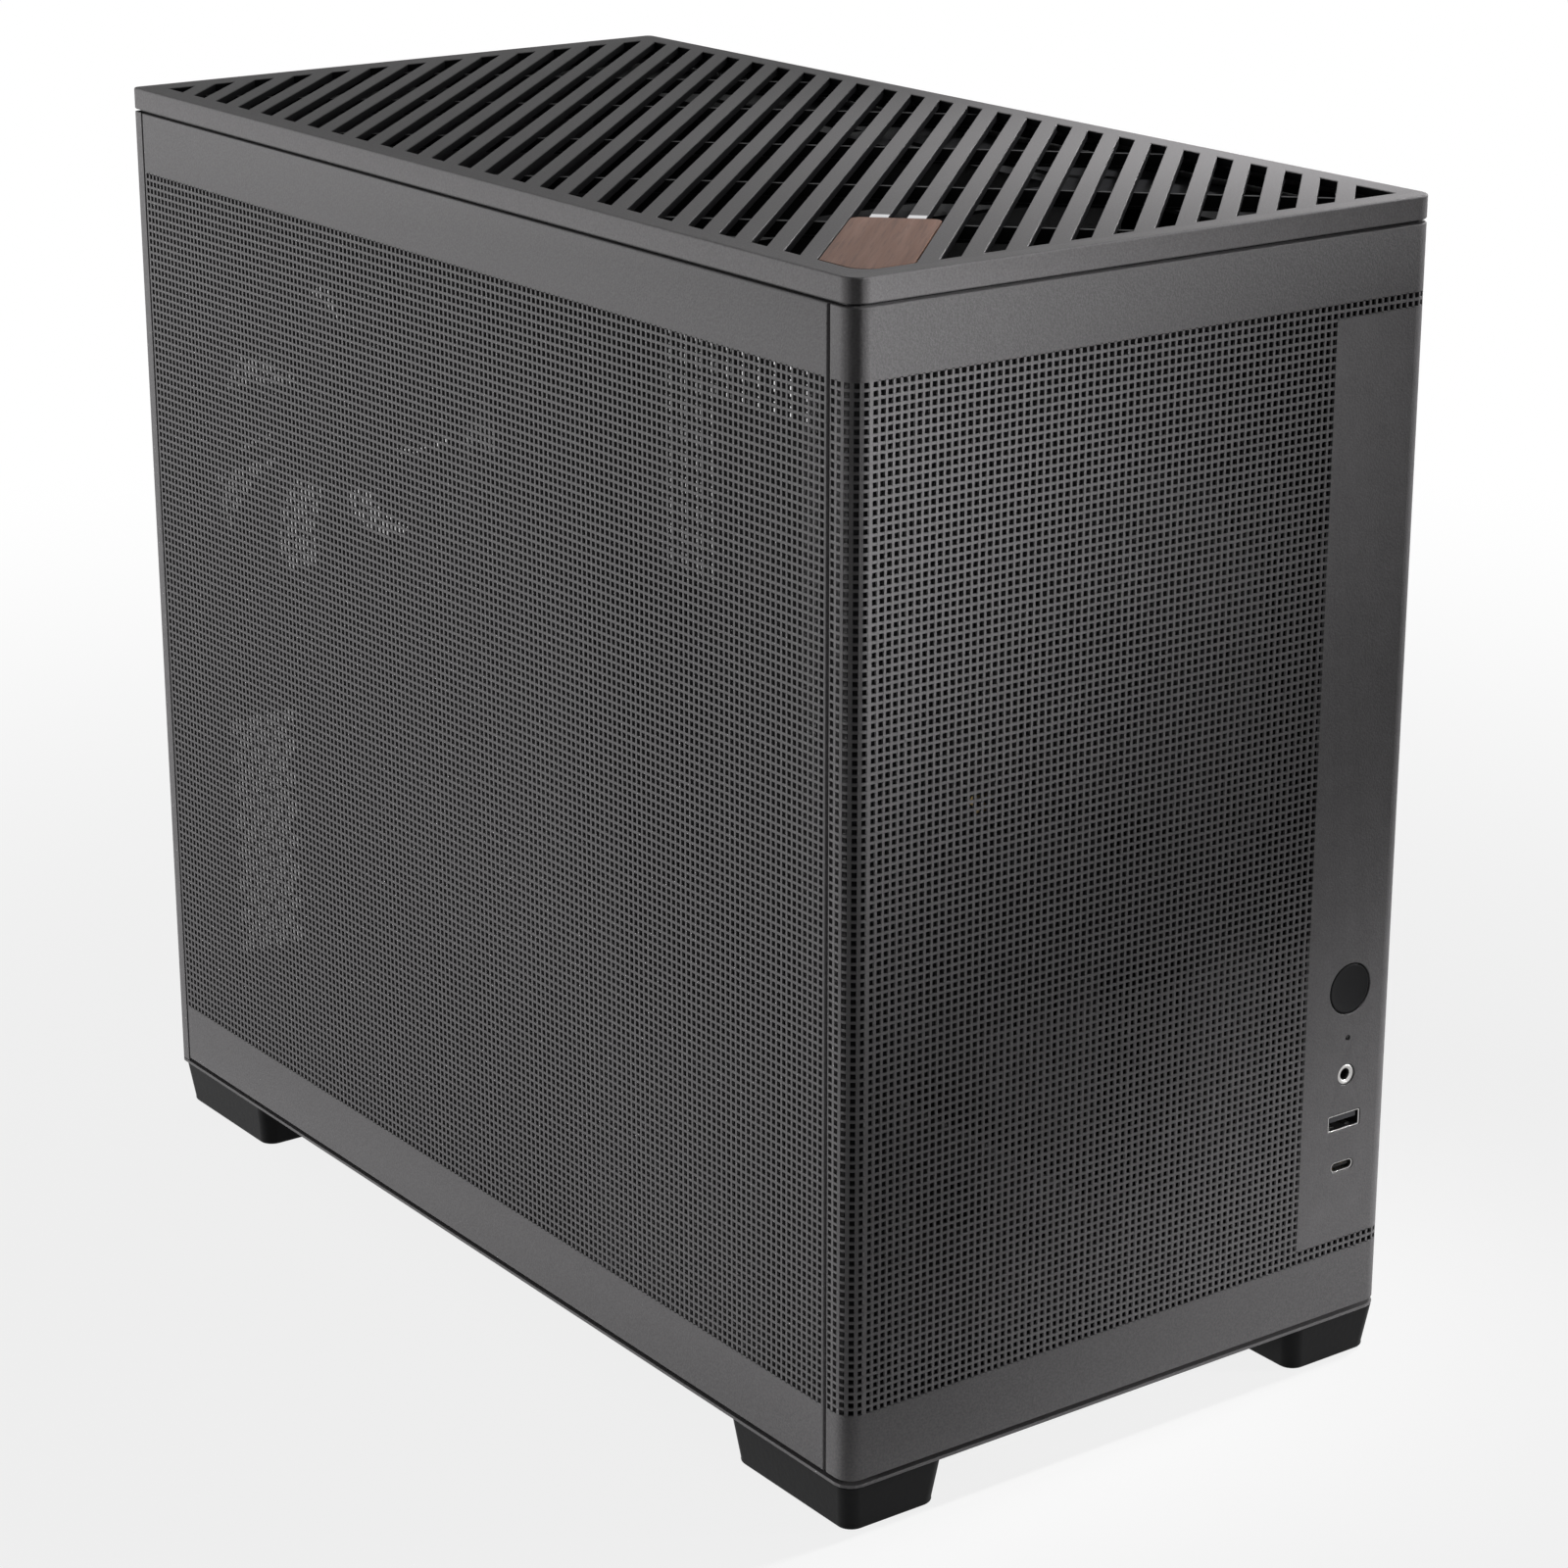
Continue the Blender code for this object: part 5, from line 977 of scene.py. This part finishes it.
def make_controls():
    """Button, indicator, audio jack and the two sockets, a little behind the front's face."""
    face = IO_FACE
    profile = [
        (0.4, face + 0.3), (3.0, face + 0.29), (5.5, face + 0.22), (6.8, face + 0.1),
        (7.4, face + 0.02), (7.65, face), (7.85, face + 0.06), (7.96, face + 0.18),
        (8.0, face + 0.4), (8.0, -202.1), (9.6, -202.1), (9.6, -200.6), (8.0, -200.6),
        (8.0, -195.1), (2.0, -195.1), (2.0, -192.7), (0.4, -192.7),
    ]
    spun(
        "dished_power_button", profile, BUTTON_Z, 64, button_black,
        "power_button", ["power_button"], "button_black",
    )
    profile = [
        (0.1, face + 0.02), (0.35, face + 0.05), (0.55, face + 0.16), (0.6, face + 0.3),
        (0.6, -202.2), (1.5, -202.2), (1.5, IO_BACK), (0.1, IO_BACK),
    ]
    spun(
        "smoked_indicator", profile, LED_Z, 24, lens_smoke,
        stands_for=["indicator_lens"], slot="lens_smoke",
    )
    profile = [
        (0.2, face + 10.0), (1.8, face + 10.0), (1.8, face + 0.7), (1.95, face + 0.42),
        (2.2, face + 0.3), (2.35, face + 0.08), (2.6, face), (2.95, face),
        (3.2, face + 0.12), (3.3, face + 0.4), (3.3, IO_BACK), (0.2, IO_BACK),
    ]
    spun("jack_ring", profile, JACK_Z, 48, nickel, stands_for=["audio_jack"], slot="satin_metal")
    profile = [
        (0.2, face + 9.9), (1.74, face + 9.9), (1.74, face + 1.3),
        (1.55, face + 1.2), (1.55, face + 9.5), (0.2, face + 9.5),
    ]
    spun("jack_liner", profile, JACK_Z, 32, moulded_black)

    def block(x, half, y0, y1, z0, z1):
        return (IO_X + x - half, y0, z0), (IO_X + x + half, y1, z1)

    z = USB_A_Z
    finishes = [socket_shell, nickel]
    socket("usb_a_shell", "usb_a_socket", USB_A_SIZE, z, 0.6, 0.4, finishes, "socket_black")
    tongue = [block(0.0, 5.6, -202.7, -192.2, z + 0.15, z + 2.05)]
    contacts = [
        block(x, 0.55, -201.9, -194.0, z + 0.02, z + 0.2) for x in (-3.5, -1.05, 1.05, 3.5)
    ]
    springs = [
        block(x, 0.9, -201.6, -196.0, z + low, z + low + 0.16)
        for x in (-3.4, 3.4) for low in (-2.22, 2.06)
    ]
    bars("usb_a_tongue", tongue, 0.15, tongue_grey)
    bars("usb_a_contacts", contacts, 0.05, gold)
    bars("usb_a_springs", springs, 0.05, nickel)

    z = USB_C_Z
    socket("usb_c_shell", "usb_c_socket", USB_C_SIZE, z, 1.59, 0.34, [nickel], "satin_metal")
    tongue = [block(0.0, 3.3, -202.5, -192.2, z - 0.36, z + 0.36)]
    contacts = [
        block((k - 5.5) * 0.5, 0.12, -202.2, -196.0, z + low, z + low + 0.1)
        for k in range(12) for low in (-0.4, 0.3)
    ]
    bars("usb_c_tongue", tongue, 0.12, tongue_black)
    bars("usb_c_contacts", contacts, 0.0, gold, weighted=False)


# ---------------- back of the case

def make_rear_wall():
    """Back sheet with its vents and openings, and rounded returns round both sides."""
    body = Body()
    bend_x, bend_y = 104.0, HALF_D - REAR_CORNER
    holes = [rounded(*BOARD_OPENING, 0.8, 3)]
    holes += [
        rounded(CARD_LEFT, CARD_RIGHT, z - CARD_HALF, z + CARD_HALF, 0.6, 3) for z in CARD_HEIGHTS
    ]
    holes += honeycomb(
        FAN_X - FAN_DUCT, FAN_X + FAN_DUCT, FAN_Z - FAN_DUCT, FAN_Z + FAN_DUCT, 7.0, 6.0,
        lambda x, z: math.hypot(x - FAN_X, z - FAN_Z) < FAN_DUCT - 3.6,
    )
    holes += honeycomb(*SUPPLY_VENT, 7.0, 6.0)
    holes.append(rectangle(*INLET_OPENING))
    holes += [circle(x, z, 3.4, 24) for x, z in FAN_SCREWS]
    outline = rectangle(-bend_x, bend_x, WALL_BOTTOM, PANEL_TOP)
    body.sheet(outline, holes, standing, HALF_D - SHEET, HALF_D)
    body.flip()
    plan = arc(bend_x, bend_y, REAR_CORNER, 0.0, 8)[::-1]
    plan += [(HALF_W, 197.6), (HALF_W - 0.1, 197.5), (HALF_W - SHEET, 197.5)]
    plan += arc(bend_x, bend_y, REAR_CORNER - SHEET, 0.0, 4)
    for side, ring in ((-1, plan), (1, plan[::-1])):
        body.loft([[(side * x, y, z) for x, y in ring] for z in (WALL_BOTTOM, PANEL_TOP)])
    for z in (WALL_BOTTOM, 360.2):
        body.cuboid((-100.2, 189.5, z), (100.2, 203.0, z + SHEET), 0.1)
    piece(
        "rear_vented_wall", body, panel_coat, "chassis", ["rear_wall"], "powder_coat_grey",
        weighted=False,
    )

    # the fan's screws, sunk flush with the wall, and the pins of the supply inlet
    body = Body()
    profile = [
        (0.1, -1.4), (3.35, -1.4), (3.35, -0.9), (3.3, -0.25), (2.9, -0.08),
        (1.9, -0.02), (1.75, -0.1), (1.3, -0.8), (0.1, -0.9),
    ]
    for x, z in FAN_SCREWS:
        body.turned(profile, (x, HALF_D, z), BACKWARD, 24)
    piece("fan_screws", body, black_screw, "chassis")
    pins = []
    for dx, dz in ((-7.0, -1.0), (0.0, 3.0), (7.0, -1.0)):
        x, z = INLET_X + dx, INLET_Z + dz
        pins.append(((x - 1.05, 186.0, z - 2.05), (x + 1.05, 199.4, z + 2.05)))
    bars("inlet_pins", pins, 0.25, nickel)


def make_io_blank():
    """Plain snap-in plate that closes the board opening, stamped with outlines of ports."""
    x0, x1, z0, z1 = 30.35, 74.05, 150.85, 308.85
    face = 201.7
    body = Body()
    body.sheet(rounded(x0, x1, z0, z1, 0.8, 3), [], standing, 201.2, 201.8)
    body.flip()
    rings = []
    for inset, y in (
        (0.0, face), (0.0, 203.1), (0.15, 203.25), (0.45, 203.25), (0.6, 203.1), (0.6, face),
    ):
        plan = rounded(x0 + inset, x1 - inset, z0 + inset, z1 - inset, max(0.3, 0.8 - inset), 3)
        rings.append([(x, y, z) for x, z in plan])
    body.loft(rings, closed=True)
    middle = (x0 + x1) / 2
    disc = [(0.1, face), (4.3, face), (4.3, 202.0), (4.0, 202.15), (0.1, 202.15)]
    for z in (13.0, 27.0, 41.0):
        for x in (-7.0, 7.0):
            body.turned(disc, (middle + x, 0.0, z0 + z), BACKWARD, 24)
    for low, high in ((53.0, 69.0), (73.0, 88.0), (92.0, 108.0), (113.0, 127.0), (131.0, 148.0)):
        body.cuboid((middle - 8.0, face, z0 + low), (middle + 8.0, 202.15, z0 + high), 0.2)
    piece("io_blank_plate", body, black_steel, "chassis", weighted=False)


def node_box(name):
    """The two corners of a CAD node, in millimetres."""
    return [Vector(corner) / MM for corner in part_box(name)]


def make_thumbscrews():
    """Knurled heads with a driver slot, on the clamp of the slot covers."""
    for number in (1, 2):
        node = f"clamp_screw_{number}"
        low, high = node_box(node)
        y, z = (low.y + high.y) / 2, (low.z + high.z) / 2
        profile = (
            (low.x, 3.1, 0.0), (low.x + 0.15, 3.5, 0.0), (low.x + 0.6, 3.8, 0.05),
            (low.x + 0.9, 4.0, 0.3), (low.x + 5.0, 4.0, 0.3), (low.x + 5.4, 3.8, 0.05),
            (low.x + 5.9, 3.5, 0.0), (low.x + 6.0, 1.5, 0.0), (high.x, 1.5, 0.0),
        )
        rings = []
        for x, radius, bite in profile:
            crests, roots = circle(y, z, radius, 64), circle(y, z, radius - bite, 64)
            ring = [roots[k] if k % 2 else crests[k] for k in range(64)]
            rings.append([(x, *point) for point in ring])
        body = Body()
        body.loft(rings)
        piece(f"thumbscrew_{number}", body, black_screw, "chassis", [node], "satin_metal")
        slot = [((low.x, y - 2.6, z - 0.45), (low.x + 0.1, y + 2.6, z + 0.45))]
        bars(f"thumbscrew_slot_{number}", slot, 0.03, moulded_black, weighted=False)


def make_fan():
    """Housing with its struts, and the rotor with curved blades."""
    centre = (FAN_X, 0.0, FAN_Z)
    body = Body()
    outline = rounded(
        FAN_X - FAN_HALF, FAN_X + FAN_HALF, FAN_Z - FAN_HALF, FAN_Z + FAN_HALF, 5.0, 8
    )
    holes = [circle(FAN_X, FAN_Z, FAN_DUCT, 96)] + [circle(x, z, 2.2, 20) for x, z in FAN_SCREWS]
    for low, high in ((FAN_FRONT, FAN_FRONT + 4.0), (FAN_BACK - 4.0, FAN_BACK)):
        start = len(body.faces)
        body.sheet(outline, holes, standing, low, high)
        body.flip(start)
    tube = rectangle(FAN_DUCT, 59.0, FAN_FRONT + 3.9, FAN_BACK - 3.9)
    body.turned(tube, centre, BACKWARD, 96, closed=True)
    for k in range(4):
        angle = math.radians(90.0 * k + 12.0)
        out = Vector((math.cos(angle), math.sin(angle)))
        side = Vector((-out.y, out.x))
        rings = []
        for reach, half in ((20.0, 3.4), (30.0, 2.6), (45.0, 2.4), (57.8, 2.6)):
            ring = []
            for offset, drop in (
                (-half, 0.6), (0.6 - half, 0.0), (half - 0.6, 0.0), (half, 0.6),
                (half, 2.4), (-half, 2.4),
            ):
                point = Vector((FAN_X, FAN_Z)) + out * reach + side * offset
                ring.append((point.x, FAN_BACK - drop, point.y))
            rings.append(ring)
        body.loft(rings)
    hub = (
        (0.2, 16.0), (1.6, 16.0), (1.6, 3.0), (22.0, 3.0), (22.0, 1.0), (21.5, 0.3),
        (20.0, 0.0), (0.2, 0.0),
    )
    body.turned([(radius, FAN_BACK - drop) for radius, drop in hub], centre, BACKWARD, 64)
    piece("fan_housing", body, fan_black, "chassis", ["rear_fan_frame"], "fan_black")

    body = Body()
    front, back = 180.8, 198.8
    cup = [
        (0.3, front), (17.5, front), (19.3, front + 0.5), (20.2, front + 1.5),
        (20.5, front + 3.0), (20.5, back), (19.0, back), (19.0, front + 2.5),
        (2.1, front + 2.5), (0.3, front + 2.5),
    ]
    body.turned(cup, centre, BACKWARD, 64)
    for k in range(FAN_BLADES):
        rings = []
        for share in [s / 10 for s in range(11)]:
            radius = 20.2 + share * 35.2
            sweep = math.radians(360.0 * k / FAN_BLADES + 22.0 * share ** 1.3)
            chord = math.radians(21.0 - share)
            first, last = front + 1.6 + 0.8 * share, back - 1.6 - 1.2 * share
            thick = 1.1 - 0.4 * share
            near, far = [], []
            for part in [t / 8 for t in range(9)]:
                angle = sweep + chord * (2 * part - 1)
                bow = math.sin(math.pi * part)
                y = first + (last - first) * part - 2.2 * bow
                half = thick * (0.25 + 0.75 * bow)
                x, z = FAN_X + radius * math.cos(angle), FAN_Z + radius * math.sin(angle)
                near.append((x, y - half, z))
                far.append((x, y + half, z))
            rings.append(near + far[::-1])
        body.loft(rings)
    piece(
        "fan_impeller", body, fan_black, "rear_fan_rotor", ["rear_fan_rotor"], "fan_black",
        smooth=40.0,
    )


# ---------------- inside

def make_cage():
    """Power supply cage with an eight-sided field of small honeycomb holes."""
    body = Body()
    half = 63.0
    holes = honeycomb(
        CAGE_X - half - 1, CAGE_X + half + 1, CAGE_Z - half - 1, CAGE_Z + half + 1, 6.4, 5.4,
        lambda x, z: abs(x - CAGE_X) + abs(z - CAGE_Z) < half * ROOT2 - 3.0
        and math.hypot(x - CAGE_X, z - CAGE_Z) > 20.0,
    )
    for x in (CAGE_X - 58.5, CAGE_X + 58.5):
        holes += [circle(x, z, 2.5, 16) for z in (CAGE_Z - 58.5, CAGE_Z + 58.5)]
    outline = rectangle(-79.5, 76.5, 158.0, 321.0)
    body.sheet(outline, holes, standing, CAGE_FRONT, CAGE_FRONT + SHEET)
    body.flip()
    inside = CAGE_FRONT + 0.9
    for x in (-75.5, 75.5):
        body.cuboid((x, inside, 162.0), (x + SHEET, CAGE_BACK, 317.0), 0.1)
    shelf = rectangle(-75.0, 76.0, inside, CAGE_BACK)
    window = rounded(-62.5, 63.5, -171.7, -106.7, 2.0, 4)
    body.sheet(shelf, [window], lying, 162.0, 163.0)
    piece(
        "supply_cage", body, black_coat_and_shade, "chassis", ["psu_cage"], "chassis_black",
        weighted=False,
    )


def make_baffles():
    """Sheets behind the right panel's front end, and slit rubber in the cable grommets."""
    shroud = [
        ((97.9, -172.7, 19.0), (98.9, -96.0, 359.0)),
        ((78.0, -96.9, 19.0), (98.9, -96.0, 359.0)),
        ((99.3, -199.5, 31.0), (100.1, -172.0, 345.5)),
    ]
    bars("cable_shroud", shroud, 0.1, black_coat_and_shade)
    for number in (1, 2, 3):
        low, high = node_box(f"cable_grommet_{number}")
        x, y = (low.x + high.x) / 2, (low.y + high.y) / 2
        y0, y1, z0, z1 = low.y + 2.6, high.y - 2.6, low.z + 2.6, high.z - 2.6
        body = Body()
        body.cuboid((x - 0.4, y0, z0), (x + 0.4, y - 0.25, z1), 0.1)
        body.cuboid((x - 0.4, y + 0.25, z0), (x + 0.4, y1, z1), 0.1)
        for k in range(1, 6):
            z = z0 + (z1 - z0) * k / 6
            body.cuboid((x - 0.75, y0, z - 0.4), (x + 0.75, y - 0.9, z + 0.4), 0.15)
            body.cuboid((x - 0.75, y + 0.9, z - 0.4), (x + 0.75, y1, z + 0.4), 0.15)
        piece(f"grommet_flaps_{number}", body, soft_rubber, "chassis")


def make_filter_cloth():
    """Woven nylon in the two openings of the bottom filter's frame."""
    low, high = node_box("bottom_filter")
    border, bar, thick = 8.9, 4.4, 0.45
    z = (low.z + high.z) / 2
    cloth = [
        ((low.x + border, y0, z - thick), (high.x - border, y1, z + thick))
        for y0, y1 in ((low.y + border, -bar), (bar, high.y - border))
    ]
    bars("filter_cloth", cloth, 0.02, weave, "bottom_filter", weighted=False)


def finish_nodes():
    """Gives each CAD node that stays in view its own finish."""
    finishes = (
        (panel_coat, ("base_pan",)),
        (black_coat_and_shade, ("motherboard_tray", "drive_bracket", "front_frame", "top_frame")),
        (black_coat_and_shade, ("slot_clamp", "slot_cover")),
        (moulded_black, ("filter_runner", "bottom_filter", "power_inlet", "io_carrier")),
        (board_mask, ("io_board",)),
        (soft_rubber, ("cable_grommet", "foot_pad")),
        (brass, ("standoff",)),
    )
    for name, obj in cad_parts.items():
        for finish, starts in finishes:
            if name.startswith(starts):
                for place in obj.material_slots:
                    place.material = finish


# ---------------- stage

def area_lamp(name, place, aim, size, power, spread=180.0):
    """A softbox; one with a narrow spread throws a soft-edged pool of light."""
    lamp = bpy.data.lights.new(name, "AREA")
    lamp.shape = "RECTANGLE"
    lamp.size, lamp.size_y = size
    lamp.energy = power
    lamp.spread = math.radians(spread)
    obj = bpy.data.objects.new(name, lamp)
    obj.location = place
    obj.rotation_euler = (Vector(aim) - Vector(place)).to_track_quat("-Z", "Y").to_euler()
    obj.visible_camera = False
    bpy.context.scene.collection.objects.link(obj)


def make_floor():
    """Pale paper that looks white far off; near the case it glows less, a painted grey pool in
    which the case's real shadow shows.
    """
    mesh = bpy.data.meshes.new("studio_floor")
    corners = rectangle(-FLOOR_REACH, FLOOR_REACH, -FLOOR_REACH, FLOOR_REACH)
    mesh.from_pydata([(x, y, 0.0) for x, y in corners], [], [(0, 1, 2, 3)])
    floor = bpy.data.objects.new("studio_floor", mesh)
    bpy.context.scene.collection.objects.link(floor)
    paper = Finish("studio_paper", (0.5, 0.5, 0.5), 0.9)
    seen, gloss = paper.rays("Camera", "Glossy")
    away = paper.node(
        "ShaderNodeVectorMath", {"operation": "LENGTH"}, {0: paper.place()}, "Value"
    )
    # camera rays see less glow close to the case: painted shade round it, together with the real
    # shadow
    glow_with_painted_pool = paper.node("ShaderNodeMapRange", {"interpolation_type": "SMOOTHSTEP"}, {
        "Value": away, "From Min": 0.25, "From Max": 1.15, "To Min": FLOOR_NEAR, "To Max": 1.0,
    })
    glow = paper.node("ShaderNodeEmission", None, {"Color": WHITE, "Strength": 1.0})
    mask = seen * glow_with_painted_pool + gloss * FLOOR_GLOW
    mesh.materials.append(paper.done(paper.blend(mask, paper.shader(), glow)))


def make_studio():
    """White surroundings that light the case only a little, and the softboxes."""
    world = bpy.data.worlds.new("studio")
    bpy.context.scene.world = world
    world.use_nodes = True
    sky = Nodes(world.node_tree)
    dim, white = [
        sky.node("ShaderNodeBackground", None, {"Color": WHITE, "Strength": strength})
        for strength in (WORLD_LIGHT, 1.0)
    ]
    seen, through, gloss = sky.rays("Camera", "Transmission", "Glossy")
    surface = sky.blend(seen.most(through).most(gloss), dim, white)
    sky.node("ShaderNodeOutputWorld", None, {"Surface": surface})

    area_lamp(
        "left_softbox", (-2.99, 3.45, 0.18), (-0.1, 0.0, 0.2), (1.2, 0.34), LEFT_LAMP
    )
    area_lamp(
        "front_upper_softbox", (1.53, -1.25, 0.62), (-0.27, -0.2, 0.31), (0.2, 0.2),
        UPPER_LAMP, 9.5,
    )
    area_lamp(
        "front_lower_softbox", (1.4, -1.2, 0.40), (0.15, -0.2, 0.06), (0.2, 0.12),
        LOWER_LAMP, 9.5,
    )
    area_lamp(
        "overhead_softbox", (0.80, -0.2, 1.3), (0.19, -0.14, 0.37), (0.22, 0.22),
        TOP_LAMP, 17.0,
    )
    area_lamp("back_softbox", (1.6, 1.6, 0.2), (0.0, 0.0, 0.2), (1.3, 0.34), BACK_LAMP)


def make_camera():
    """The photo's own viewpoint: its focal length in pixels of a 1600 pixel frame."""
    lens = bpy.data.cameras.new("photo_camera")
    lens.sensor_width = 36.0
    lens.lens = 4078.9 / 1600.0 * 36.0
    lens.clip_start = 0.05
    lens.clip_end = 60.0
    camera = bpy.data.objects.new("photo_camera", lens)
    camera.location = (-0.7299, -1.0280, 0.580)
    heading = Matrix.Rotation(math.radians(-36.089), 4, "Z")
    pitch = Matrix.Rotation(math.radians(90.0 - 18.572), 4, "X")
    camera.rotation_euler = (heading @ pitch).to_euler()
    bpy.context.scene.collection.objects.link(camera)
    bpy.context.scene.camera = camera


make_front()
make_side("left_mesh_panel", "left_side_panel", -1)
make_side("right_mesh_panel", "right_side_panel", 1)
make_cover()
make_badge()
for x_name, sx in (("left", -1), ("right", 1)):
    for y_name, sy in (("front", -1), ("rear", 1)):
        make_foot(f"foot_{y_name}_{x_name}", sx, sy)
make_controls()
make_rear_wall()
make_io_blank()
make_thumbscrews()
make_fan()
make_cage()
make_baffles()
make_filter_cloth()
finish_nodes()
make_floor()
make_studio()
make_camera()

bpy.context.scene.view_settings.view_transform = "Standard"
